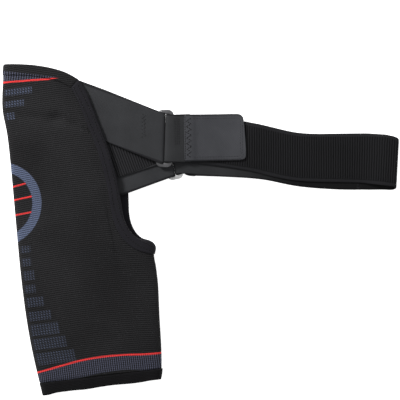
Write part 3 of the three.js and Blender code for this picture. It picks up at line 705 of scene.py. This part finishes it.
# Edge binding.
# A woven tape folded over the raw edge of the body opening, front, armpit and back, and held by
# two rows of stitches. It puckers a little at the armpit, where its ends meet.

binding = cloth_copy("edge_binding", "opening_tape", 2)


def tape_ease(co):
    ripple = noise.noise(Vector((co.x * 70, co.y * 70, 1.5)))
    return Vector((0, 0, 0.00022 * ripple)) if co.z > 0.009 else Vector((0, 0, 0))


move_points(binding, tape_ease)
move_points(binding, armpit_gather)
move_points(binding, neck_corner)


def tape_place(co, middle, normal):
    return co.y, co.x


fabric_map(binding, tape_place)
smooth(binding)

# Plain weave: two sets of threads over and under each other. Its gap output is painted shade between the
# threads
weave_group, weave_in, weave_out = new_group(
    "Weave", {"Along": 0, "Across": 0, "Pitch": 0.0008}, ["Height", "GapShade"]
)
warp = maths("DIVIDE", weave_in.outputs["Along"], weave_in.outputs["Pitch"])
weft = maths("DIVIDE", weave_in.outputs["Across"], weave_in.outputs["Pitch"])
warp_wave = maths("SINE", times(warp, math.pi))
weft_wave = maths("SINE", times(weft, math.pi))
thread = times(warp_wave, weft_wave)
weave_height = times(add(thread, 1.0), 0.5)
weave_group.links.new(weave_height, weave_out.inputs["Height"])
weave_gap_shade = minus(1.0, maths("ABSOLUTE", thread))
weave_group.links.new(maths("POWER", weave_gap_shade, 3.0), weave_out.inputs["GapShade"])

tape, tape_tree, tape_shader = cloth_material("Folded binding tape", 0.85, 0.03)
tape_along, tape_across = map_places(tape_tree)
tape_weave = place_group(tape_tree, weave_group, Along=tape_along, Across=tape_across, Pitch=0.0007)
tape_lint = place_group(tape_tree, lint_group, Scale=45, Strength=0.9)
tape_base = colour_mix(tape_lint["Shade"], (0.0078, 0.0074, 0.0092, 1), (0.0152, 0.0145, 0.0178, 1))
# The gaps between threads are painted darker, as shade
tape_base = colour_mix(times(tape_weave["GapShade"], 0.5), tape_base, (0.005, 0.005, 0.006, 1))
tape_tree.links.new(tape_base, tape_shader.inputs["Base Color"])
bump_on(tape_shader, tape_weave["Height"], 0.0002, 0.6)
binding.data.materials.append(tape)


def smooth_line(points, step=0.0015):
    """Even steps along a smooth curve through the points, in plan."""
    points = np.array(points)
    knots = np.concatenate([[0], np.cumsum(np.linalg.norm(np.diff(points, axis=0), axis=1))])
    slopes = np.gradient(points, knots, axis=0)
    places = np.linspace(0, knots[-1], int(knots[-1] / step) + 1)
    out = []
    for place in places:
        n = min(len(knots) - 2, int(np.searchsorted(knots, place, side="right")) - 1)
        span = knots[n + 1] - knots[n]
        t = (place - knots[n]) / span
        first = (1 + 2 * t) * (1 - t) ** 2 * points[n] + t * (1 - t) ** 2 * span * slopes[n]
        second = t * t * (3 - 2 * t) * points[n + 1] + t * t * (t - 1) * span * slopes[n + 1]
        out.append(first + second)
    return np.array(out)


def beside(line, offset):
    """The line moved sideways, to its left as it runs."""
    ahead = np.gradient(line, axis=0)
    ahead /= np.linalg.norm(ahead, axis=1)[:, None]
    return line + offset * np.column_stack([-ahead[:, 1], ahead[:, 0]])


def sew(name, onto, line, paint, pitch=0.0032, length=0.0025, thread=0.001):
    """A row of stitches along a line in plan, let down onto the piece's upper face."""
    corners = [v.co for v in onto.data.vertices]
    tree = BVHTree.FromPolygons(corners, [f.vertices for f in onto.data.polygons])
    places = []
    for x, y in line:
        hit = tree.ray_cast(Vector((x, y, 0.05)), Vector((0, 0, -1)))[0]
        if hit is not None:
            places.append(hit)
    bpy.ops.object.select_all(action="DESELECT")
    bpy.ops.mesh.primitive_uv_sphere_add(segments=8, ring_count=6, radius=0.5, location=(0, 0, 0))
    row = bpy.context.object
    row.name = name
    bpy.ops.object.mode_set(mode="EDIT")
    bpy.ops.mesh.select_all(action="SELECT")
    bpy.ops.transform.resize(value=(length, thread, thread * 0.8))
    bpy.ops.transform.translate(value=(length / 2, 0, 0))
    bpy.ops.object.mode_set(mode="OBJECT")
    path_data = bpy.data.curves.new(name + "_path", "CURVE")
    path_data.dimensions = "3D"
    spline = path_data.splines.new("POLY")
    spline.points.add(len(places) - 1)
    for point, place in zip(spline.points, places):
        point.co = (*place, 1)
    path = bpy.data.objects.new(name + "_path", path_data)
    bpy.context.scene.collection.objects.link(path)
    repeat = row.modifiers.new("Repeat", "ARRAY")
    repeat.fit_type = "FIT_CURVE"
    repeat.curve = path
    repeat.use_relative_offset = False
    repeat.use_constant_offset = True
    repeat.constant_offset_displace = (pitch, 0, 0)
    follow = row.modifiers.new("Follow", "CURVE")
    follow.object = path
    apply_modifiers(row)
    bpy.data.objects.remove(path)
    smooth(row)
    row.data.materials.append(paint)
    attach(row, "root")
    return row


def thread_paint(name, colour):
    """Spun sewing thread with a slight twist to it."""
    material, tree, shader = cloth_material(name, 0.6, 0.1)
    strand = noise_of(tree, 2500, 2)
    worn = tuple(c * 1.8 for c in colour[:3]) + (1,)
    tree.links.new(colour_mix(strand, colour, worn), shader.inputs["Base Color"])
    bump_on(shader, strand, 0.0001, 0.5)
    return material


# Middle line of the tape along the front edge and round the armpit, in mm
TAPE_MIDDLE = [
    {"x": -129.3, "y": 149.0},
    {"x": -119.5, "y": 128.9},
    {"x": -110.2, "y": 107.1},
    {"x": -101.6, "y": 87.1},
    {"x": -94.9, "y": 63.8},
    {"x": -90.0, "y": 43.2},
    {"x": -86.6, "y": 22.0},
    {"x": -81.5, "y": 7.3},
    {"x": -74.2, "y": -5.1},
    {"x": -64.7, "y": -13.1},
    {"x": -55.1, "y": -18.0},
    {"x": -50.0, "y": -20.0},
]
black_thread = thread_paint("Black sewing thread", (0.0012, 0.0012, 0.0015, 1))
tape_middle = smooth_line([(r["x"] / 1000, r["y"] / 1000) for r in TAPE_MIDDLE])
STITCH_OFFSET = 0.0026
sew("tape_stitches_outer", binding, beside(tape_middle, STITCH_OFFSET), black_thread)
sew("tape_stitches_inner", binding, beside(tape_middle, -STITCH_OFFSET), black_thread)

# The front anchor's end is tacked through the knit beside the tape in a short zigzag
tack_line = []
for n in range(8):
    swing = 0.0022 if n % 2 else -0.0012
    tack_line.append((-0.1240 + 0.0021 * n, 0.1062 - 0.0011 * n + swing))
sew("anchor_tack", sleeve, smooth_line(tack_line, 0.0006), black_thread, 0.0022, 0.0019)

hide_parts("edge_binding")
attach(binding, "root")


# Anchor straps, front and back.
# Each is one length of 50 mm elastic folded round the ring's bar, its two legs sewn in under the
# tape as a V. One face is smooth grey, the other is cross-ribbed and black with smooth selvedges.

STRAP_WIDTH = 0.05
RIB_PITCH = 0.0025
SELVEDGE = 0.0032
LEG_SPLAY = math.radians(20)
# Near black painted as shade on the inside of the strap
PAINTED_SHADE_BLACK = (0.0012, 0.0012, 0.0014, 1)
RING_TURNS = {"front_ring": -2, "back_ring": 12}
SLOT_LEFT = 0.00001
FOLD_HEIGHT = 0.0033
FOLD_SWELL = 0.0018


def fill_slot(piece, ring_node, side):
    """Swells a fold towards the ring's middle line, where it all but meets the fold across it."""
    hub = middle_of(ring_node)
    turn = math.radians(RING_TURNS[ring_node])
    outwards = Vector((math.cos(turn), math.sin(turn), 0)) * side
    level = [v for v in piece.data.vertices if abs(v.co.z - hub.z) < FOLD_HEIGHT]
    fold = [v for v in level if (v.co - hub).dot(outwards) > -0.0005]
    nearest = min((v.co - hub).dot(outwards) for v in fold)
    for vertex in fold:
        off = (vertex.co - hub).dot(outwards)
        vertex.co -= outwards * ((nearest - SLOT_LEFT) * bulge(off - nearest, FOLD_SWELL))


def mark_faces(piece, node):
    """Gives the face of the band that holds its highest point slot 0, and the rest slot 1."""
    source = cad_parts[node]
    bm = bmesh.new()
    bm.from_mesh(source.data)
    bmesh.ops.remove_doubles(bm, verts=bm.verts, dist=2e-6)
    bm.faces.ensure_lookup_table()
    bm.normal_update()
    start = max((f for f in bm.faces if f.normal.z > 0.9), key=lambda f: f.calc_center_median().z)
    outer = {start.index}
    queue = [start]
    while queue:
        face = queue.pop()
        for edge in face.edges:
            if len(edge.link_faces) != 2 or edge.calc_face_angle(0) > math.radians(50):
                continue
            for other in edge.link_faces:
                if other.index not in outer:
                    outer.add(other.index)
                    queue.append(other)
    tree = BVHTree.FromBMesh(bm)
    for face in piece.data.polygons:
        found = tree.find_nearest(face.center + face.normal * 0.0001)
        face.material_index = 0 if found[2] in outer else 1
    bm.free()


# Elastic: cross ribs between two smooth selvedges, or the plain close-woven back of it
rib_group, rib_in, rib_out = new_group(
    "Elastic ribs",
    {"Along": 0, "Across": 0, "Pitch": RIB_PITCH, "Width": STRAP_WIDTH, "Selvedge": SELVEDGE},
    ["Height", "GrooveShade", "Border"],
)
rib_wobble = noise_of(rib_group, 120, 1)
rib_turn = maths("DIVIDE", rib_in.outputs["Along"], rib_in.outputs["Pitch"])
rib_turn = add(rib_turn, times(rib_wobble, 0.35))
rib_wave = maths("ABSOLUTE", maths("SINE", times(rib_turn, math.pi)))
half_width = times(rib_in.outputs["Width"], 0.5)
to_edge = minus(half_width, maths("ABSOLUTE", rib_in.outputs["Across"]))
border = edge_step(times(minus(to_edge, rib_in.outputs["Selvedge"]), -1.0), 0, 0.0003)
not_border = minus(1.0, border)
rib_group.links.new(times(rib_wave, not_border), rib_out.inputs["Height"])
# The groove output is painted shade between the ribs
rib_groove_shade = times(minus(1.0, rib_wave), not_border)
rib_group.links.new(rib_groove_shade, rib_out.inputs["GrooveShade"])
rib_group.links.new(border, rib_out.inputs["Border"])


def smooth_elastic(name, light, dark, width=STRAP_WIDTH, painted_shade_span=None):
    """Close-woven grey face with a slightly rolled edge painted dark as shade; past the given span along
    it, it is painted near black as shade.
    """
    material, tree, shader = cloth_material(name, 0.7, 0.03, 0.4)
    along, across = map_places(tree)
    weave = place_group(tree, weave_group, Along=along, Across=across, Pitch=0.0009)
    lint = place_group(tree, lint_group, Scale=34, Strength=1.0)
    edges = place_group(tree, rib_group, Along=along, Across=across, Width=width, Selvedge=0.0014)
    colour = colour_mix(lint["Shade"], dark, light)
    # Painted shade in the gaps of the weave
    gap_shade = times(weave["GapShade"], 0.6)
    colour = colour_mix(gap_shade, colour, tuple(c * 0.45 for c in dark[:3]) + (1,))
    # Along both edges the colour is painted dark, as the shade of the rolled edge and the gap beside it
    colour = colour_mix(times(edges["Border"], 0.7), colour, (0.006, 0.006, 0.007, 1))
    if painted_shade_span is not None:
        # Past the given span along the piece the colour is painted near black, as shade
        away = tree.nodes.new("ShaderNodeMapRange")
        away.inputs["From Min"].default_value = painted_shade_span[0]
        away.inputs["From Max"].default_value = painted_shade_span[1]
        tree.links.new(along, away.inputs["Value"])
        colour = colour_mix(times(away.outputs["Result"], 0.85), colour, PAINTED_SHADE_BLACK)
    tree.links.new(colour, shader.inputs["Base Color"])
    bump_on(shader, weave["Height"], 0.00022, 0.7)
    return material


def ribbed_elastic(name, ridge_colour, groove_shade_colour, border_colour):
    """Cross-ribbed outer face with smooth selvedges; the grooves between the ribs are painted dark as
    shade.
    """
    material, tree, shader = cloth_material(name, 0.8, 0.01)
    along, across = map_places(tree)
    rib = place_group(tree, rib_group, Along=along, Across=across)
    weave = place_group(tree, weave_group, Along=along, Across=across, Pitch=0.0008)
    lint = place_group(tree, lint_group, Scale=30, Strength=0.8)
    colour = colour_mix(rib["GrooveShade"], ridge_colour, groove_shade_colour)
    colour = colour_mix(times(rib["Border"], 0.8), colour, border_colour)
    shade = times(lint["Shade"], 0.25)
    colour = colour_mix(shade, colour, tuple(c * 1.6 for c in ridge_colour[:3]) + (1,))
    tree.links.new(colour, shader.inputs["Base Color"])
    fine = bump_on(None, weave["Height"], 0.00012, 0.6)
    bump_on(shader, rib["Height"], 0.0006, 0.9, fine)
    return material


anchor_grey = smooth_elastic("Smooth anchor elastic", (0.040, 0.041, 0.044, 1), (0.017, 0.0175, 0.019, 1))
anchor_ribbed = ribbed_elastic(
    "Ribbed anchor elastic",
    (0.0165, 0.0165, 0.018, 1),
    (0.0003, 0.0003, 0.0004, 1),
    (0.042, 0.0425, 0.046, 1),
)


def anchor_map(ring_node, level_at_ring, level_at_edge):
    """Map of a V-shaped anchor: each leg has its own line from the ring's middle."""
    hub = middle_of(ring_node)

    def place(co, middle, normal):
        away = ramp(hub.x - middle.x, 0, 0.06)
        upper_leg = middle.z > level_at_ring + (level_at_edge - level_at_ring) * away
        lean = LEG_SPLAY if upper_leg else -LEG_SPLAY
        if ring_node == "back_ring":
            lean = -lean
        along = Vector((-math.cos(lean), math.sin(lean), 0))
        across = Vector((math.sin(lean), math.cos(lean), 0))
        return (co - hub).dot(along), (co - hub).dot(across)

    return place


front_anchor = cloth_copy("front_anchor_strap", "front_anchor_elastic", 3)
back_anchor = cloth_copy("back_anchor_strap", "back_anchor_elastic", 3)


def anchor_lie(co):
    """Towards the sleeve the front anchor lies a little higher than its straight run."""
    away = ramp(-co.x, 0.04, 0.06)
    return Vector((0, 0.0022 * away, 0))


move_points(front_anchor, anchor_lie)
fill_slot(front_anchor, "front_ring", -1)
fill_slot(back_anchor, "back_ring", -1)

for anchor, node, ring_node, at_ring, at_edge in (
    (front_anchor, "front_anchor_strap", "front_ring", 0.0096, 0.00925),
    (back_anchor, "back_anchor_strap", "back_ring", 0.0031, 0.00585),
):
    mark_faces(anchor, node)
    fabric_map(anchor, anchor_map(ring_node, at_ring, at_edge))
    anchor.data.materials.append(anchor_grey)
    anchor.data.materials.append(anchor_ribbed)
    smooth(anchor)
    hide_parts(node)
    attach(anchor, "root")


# Rings.
# Two long rounded rectangles of 3 mm wire, welded on one long side and satin plated alike: the front one
# mid grey, the rear one painted lighter as painted light on the same wire. The anchor is folded round one
# long bar, the strap round the other.

RING_WIRE = 0.003
RING_WIDTH = 0.0173
RING_LENGTH = 0.06
RING_CORNER = 0.006
RING_END_EXTRA = 0.0019


def wire_ring(name, node, turn):
    """A torus whose four quarters are drawn apart into straight sides."""
    bend = RING_CORNER - RING_WIRE / 2
    bpy.ops.object.select_all(action="DESELECT")
    bpy.ops.mesh.primitive_torus_add(
        major_segments=40,
        minor_segments=18,
        major_radius=bend,
        minor_radius=RING_WIRE / 2,
        location=(0, 0, 0),
        rotation=(0, 0, math.radians(360 / 80)),
    )
    ring = bpy.context.object
    ring.name = name
    bpy.ops.object.transform_apply(location=True, rotation=True, scale=True)
    spread = (RING_WIDTH / 2 - RING_WIRE / 2 - bend, RING_LENGTH / 2 - RING_WIRE / 2 - bend)
    for axis in (0, 1):
        for side in (1, -1):
            bpy.ops.object.mode_set(mode="EDIT")
            bpy.ops.mesh.select_all(action="DESELECT")
            bpy.ops.object.mode_set(mode="OBJECT")
            for vertex in ring.data.vertices:
                vertex.select = vertex.co[axis] * side > 0
            bpy.ops.object.mode_set(mode="EDIT")
            shift = [0, 0, 0]
            shift[axis] = side * spread[axis]
            bpy.ops.transform.translate(value=shift)
            bpy.ops.object.mode_set(mode="OBJECT")
    inner_end = RING_LENGTH / 2 - RING_WIRE / 2
    for vertex in ring.data.vertices:
        if abs(vertex.co.x) < RING_WIDTH / 2 - RING_WIRE * 0.9 and abs(vertex.co.y) < inner_end:
            vertex.co.y -= math.copysign(RING_END_EXTRA, vertex.co.y)
    ring.rotation_euler = (0, 0, math.radians(turn))
    ring.location = middle_of(node)
    bpy.ops.object.transform_apply(location=True, rotation=True, scale=True)
    smooth(ring)
    return ring


def wire_metal(name, light, dark, roughness):
    """Satin plating: a fine grain, dulled patches and small nicks."""
    material = bpy.data.materials.new(name)
    material.use_nodes = True
    tree = material.node_tree
    shader = tree.nodes["Principled BSDF"]
    shader.inputs["Metallic"].default_value = 0.75
    broad = noise_of(tree, 90, 3)
    fine = noise_of(tree, 1400, 2)
    colour = colour_mix(broad, dark, light)
    nick = edge_step(fine, 0.68, 0.03)
    colour = colour_mix(times(nick, 0.3), colour, (0.05, 0.05, 0.05, 1))
    tree.links.new(colour, shader.inputs["Base Color"])
    rough = add(times(broad, 0.25), roughness)
    tree.links.new(rough, shader.inputs["Roughness"])
    bump_on(shader, fine, 0.00005, 0.4)
    return material


front_metal = wire_metal("Satin grey wire", (0.15, 0.15, 0.155, 1), (0.07, 0.07, 0.075, 1), 0.3)
# The rear ring's lighter grey is painted light on the same plating as the front ring
back_metal_painted_lit = wire_metal("Light satin wire", (0.62, 0.62, 0.62, 1), (0.42, 0.42, 0.42, 1), 0.22)
for node, metal, wire_slot in (
    ("front_ring", front_metal, "front_wire"),
    ("back_ring", back_metal_painted_lit, "back_wire"),
):
    ring = wire_ring(node + "_wire", node, RING_TURNS[node])
    ring.data.materials.append(metal)
    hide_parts(node)
    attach(ring, "root")


# Chest strap.
# One length of 50 mm elastic that goes round the chest: cross-ribbed and black outside, with
# smooth selvedges, and smooth grey inside. Both ends are folded back through the rings.

strap = cloth_copy("chest_strap", "chest_strap_elastic", 2)
FRONT_HUB = middle_of("front_ring")
LOOP_BEND = 0.0037
FAR_FOLD_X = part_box("chest_strap")[1].x - LOOP_BEND

# Middle line of the two runs in plan, out of 243 mm from the front ring and 50 mm of width
RUN_LINES = [
    {"along": 0.0, "front": 0.0, "rear": -0.235},
    {"along": 0.12, "front": -0.02, "rear": -0.255},
    {"along": 0.22, "front": -0.065, "rear": -0.29},
    {"along": 0.375, "front": -0.175, "rear": -0.33},
    {"along": 0.45, "front": -0.26, "rear": -0.37},
    {"along": 0.51, "front": -0.33, "rear": -0.43},
    {"along": 0.58, "front": -0.385, "rear": -0.5},
    {"along": 0.75, "front": -0.417, "rear": -0.565},
    {"along": 0.87, "front": -0.44, "rear": -0.565},
    {"along": 1.0, "front": -0.465, "rear": -0.54},
]
# Height half way between the two runs, in mm
RUN_GAPS = [
    {"along": 0.0, "high": 6.3},
    {"along": 0.045, "high": 6.3},
    {"along": 0.078, "high": 6.07},
    {"along": 0.119, "high": 5.53},
    {"along": 0.152, "high": 5.02},
    {"along": 0.193, "high": 3.86},
    {"along": 0.234, "high": 3.15},
    {"along": 0.337, "high": 3.33},
    {"along": 0.4, "high": 2.57},
    {"along": 0.46, "high": 1.58},
    {"along": 0.77, "high": 1.5},
    {"along": 0.827, "high": 1.33},
    {"along": 0.876, "high": 1.6},
    {"along": 0.95, "high": 3.9},
]
STRAP_REACH = 0.243
run_x = [FRONT_HUB.x + r["along"] * STRAP_REACH for r in RUN_LINES]
front_y = [FRONT_HUB.y + r["front"] * STRAP_WIDTH for r in RUN_LINES]
rear_y = [FRONT_HUB.y + r["rear"] * STRAP_WIDTH for r in RUN_LINES]
gap_x = [FRONT_HUB.x + r["along"] * STRAP_REACH for r in RUN_GAPS]
gap_z = [r["high"] / 1000 for r in RUN_GAPS]


# How far the front run's upper edge swings up before the far fold, whose corner drops again
SWAY_X = [0.1, 0.125, 0.15, 0.175, 0.192, 0.2, 0.2067]
SWAY_Y = [0.0, 0.0003, 0.0014, 0.0026, 0.0024, 0.0008, -0.0012]
FOLD_SLANT = 0.055
FOLD_DROP = 0.0017


def strap_sway(co):
    """The swing of the front run, and the slant of the far fold."""
    if co.x < SWAY_X[0]:
        return Vector((0, 0, 0))
    swing = float(np.interp(co.x, SWAY_X, SWAY_Y))
    upper = min(1, max(0, (co.y - np.interp(co.x, run_x, front_y)) / STRAP_WIDTH + 0.75))
    between = np.interp(co.x, gap_x, gap_z)
    soft = np.interp(co.x, [0.19, 0.2], [0.0001, 0.003])
    front = min(1, max(0, (co.z - between) / soft / 2 + 0.5))
    lean = ramp(co.x, 0.15, 0.05) * (co.y - FRONT_HUB.y + 0.0235) * FOLD_SLANT
    lower = 1 - ramp(co.y, 0.045, 0.045)
    drop = -FOLD_DROP * lower * ramp(co.x, 0.17, 0.03)
    return Vector((lean, swing * upper * front + drop, 0))


def strap_place(co, middle, normal):
    if middle.x > FAR_FOLD_X:
        along = FAR_FOLD_X + LOOP_BEND * math.atan2(co.x - FAR_FOLD_X, abs(co.z - LOOP_BEND) + 1e-6)
    else:
        along = co.x
    line = front_y if middle.z > np.interp(middle.x, gap_x, gap_z) else rear_y
    across = co.y - np.interp(co.x, run_x, line)
    return along, across


mark_faces(strap, "chest_strap")
fabric_map(strap, strap_place)
move_points(strap, strap_sway)
fill_slot(strap, "front_ring", 1)
fill_slot(strap, "back_ring", 1)
# Further along, the inside of the strap is painted near black as the shade inside the loop
strap_grey = smooth_elastic(
    "Smooth inside of the chest elastic",
    (0.034, 0.035, 0.037, 1),
    (0.020, 0.0205, 0.022, 1),
    painted_shade_span=(0.02, 0.10),
)
strap_ribbed = ribbed_elastic(
    "Ribbed chest elastic",
    (0.0092, 0.0092, 0.0102, 1),
    (0.0002, 0.0002, 0.0003, 1),
    (0.0115, 0.0115, 0.0128, 1),
)
strap.data.materials.append(strap_grey)
strap.data.materials.append(strap_ribbed)
smooth(strap)
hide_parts("chest_strap")
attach(strap, "root")


# Hook tabs.
# Each folded end of the chest strap carries a patch of hook tape, sewn over the strap's cut end
# and stitched round. Its back is smooth grey and its free corners are rounded.

TAB_LENGTH = 0.0635
TAB_WIDTH = 0.049
TAB_LEANS = {"front_hook_tab": math.radians(1), "back_hook_tab": math.radians(-2)}
TAB_RINGS = {"front_hook_tab": "front_ring", "back_hook_tab": "back_ring"}
TAB_START = 0.0203


def tab_lines(node):
    """Start of a tab on its middle line, and its directions along and across."""
    lean = TAB_LEANS[node]
    along = Vector((math.cos(lean), math.sin(lean), 0))
    across = Vector((-math.sin(lean), math.cos(lean), 0))
    start = middle_of(TAB_RINGS[node]) + along * TAB_START
    start.z = 0
    return start, along, across


def tab_map(node):
    start, along, across = tab_lines(node)

    def place(co, middle, normal):
        return (co - start).dot(along), (co - start).dot(across)

    return place


def tab_lie(node):
    """The free end leans a little: out at the bottom, in at the top."""
    start, along, across = tab_lines(node)

    def shift(co):
        away = max(0, (co - start).dot(along) / TAB_LENGTH)
        side = (co - start).dot(across) / TAB_WIDTH
        return along * (-0.0026 * away * side) + across * (0.0006 * away * max(0, -side))

    return shift


hook_back = smooth_elastic(
    "Smooth back of hook tape", (0.066, 0.067, 0.074, 1), (0.030, 0.031, 0.035, 1), TAB_WIDTH
)
hooks, hook_tree, hook_shader = cloth_material("Hooks", 0.6, 0.1)
hook_cells = hook_tree.nodes.new("ShaderNodeTexVoronoi")
hook_cells.inputs["Scale"].default_value = 1100
hook_coord = hook_tree.nodes.new("ShaderNodeTexCoord").outputs["Object"]
hook_tree.links.new(hook_coord, hook_cells.inputs["Vector"])
hook_colour = colour_mix(hook_cells.outputs["Distance"], (0.012, 0.012, 0.013, 1), (0.05, 0.05, 0.055, 1))
hook_tree.links.new(hook_colour, hook_shader.inputs["Base Color"])
bump_on(hook_shader, hook_cells.outputs["Distance"], 0.0005, 0.9)

tabs = {}
for node in ("front_hook_tab", "back_hook_tab"):
    tab = cloth_copy(node, node + "_patch", 3)
    fabric_map(tab, tab_map(node))
    shown = 1 if node == "front_hook_tab" else -1
    move_points(tab, tab_lie(node))
    for face in tab.data.polygons:
        face.material_index = 1 if face.normal.z * shown < -0.5 else 0
    tab.data.materials.append(hook_back)
    tab.data.materials.append(hooks)
    smooth(tab)
    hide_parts(node)
    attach(tab, "root")
    tabs[node] = tab


def on_tab(node, places):
    """Points in plan for places given along and across a tab, in mm."""
    start, along, across = tab_lines(node)
    return [tuple((start + along * (a / 1000) + across * (b / 1000)).xy) for a, b in places]


def quarter(x, y, radius, start):
    """A quarter turn clockwise round a corner's centre, in mm on the tab."""
    turns = start - np.linspace(0, math.pi / 2, 6)
    return [(x + radius * math.cos(t), y + radius * math.sin(t)) for t in turns]


# Stitching of the front tab: a zigzag over the strap's cut end, two rows round the border and one
# beside the tab's near edge
TAB_CORNER = 6
BORDER_START = 10
DOT_STEP = 1.5
grey_thread = thread_paint("Dark grey sewing thread", (0.013, 0.013, 0.015, 1))
dark_thread = thread_paint("Near black sewing thread", (0.004, 0.004, 0.0045, 1))
front_tab = tabs["front_hook_tab"]


def sew_tab(name, places, paint, pitch, length, thread):
    sew(name, front_tab, on_tab("front_hook_tab", places), paint, pitch, length, thread)


zigzag = [(2.2 if n % 2 else 7.4, 20.5 - n * 2.93) for n in range(15)]
zigzag_line = []
for (a, b), (next_a, next_b) in zip(zigzag, zigzag[1:]):
    for n in range(5):
        zigzag_line.append((a + (next_a - a) * n / 5, b + (next_b - b) * n / 5))
sew_tab("tab_zigzag", zigzag_line, dark_thread, 0.0026, 0.0023, 0.0009)
for inset, name in ((2.2, "tab_border_outer"), (4.4, "tab_border_inner")):
    far = TAB_LENGTH * 1000 - inset
    side = TAB_WIDTH * 500 - inset
    corner = TAB_CORNER - inset / 2
    border = [(a, side) for a in np.arange(BORDER_START, far - corner, DOT_STEP)]
    border += quarter(far - corner, side - corner, corner, math.pi / 2)
    for b in np.arange(side - corner - DOT_STEP, -side + corner, -DOT_STEP):
        border.append((far - 0.03 * (side - b), b))
    border += quarter(far - corner, -side + corner, corner, 0)
    border += [(a, -side) for a in np.arange(far - corner, BORDER_START, -DOT_STEP)]
    sew_tab(name, border, grey_thread, 0.0028, 0.0021, 0.0005)
edge_row = [(0.9, b) for b in np.arange(22.5, -22.5, -DOT_STEP)]
sew_tab("tab_edge_row", edge_row, dark_thread, 0.0025, 0.0023, 0.0008)

# The strap's folded end is sewn down in short rows between the ring and the tab, and the anchor's
# end in a zigzag on the other side of the ring
for n, along in enumerate((-9.5, -7.4, -5.3)):
    end_row = on_tab("front_hook_tab", [(along, b) for b in np.arange(21, -8, -DOT_STEP)])
    name = "strap_end_row_%d" % (n + 1)
    sew(name, strap, end_row, dark_thread, 0.0026, 0.0019, 0.0006)
pucker_line = []
for n in range(13):
    swing = 0.0022 if n % 2 else -0.0022
    pucker_line.append((-0.0585 + swing, 0.1195 - 0.0020 * n))
pucker_line = smooth_line(pucker_line, 0.0006)
sew("anchor_zigzag", front_anchor, pucker_line, dark_thread, 0.0032, 0.0021, 0.0007)
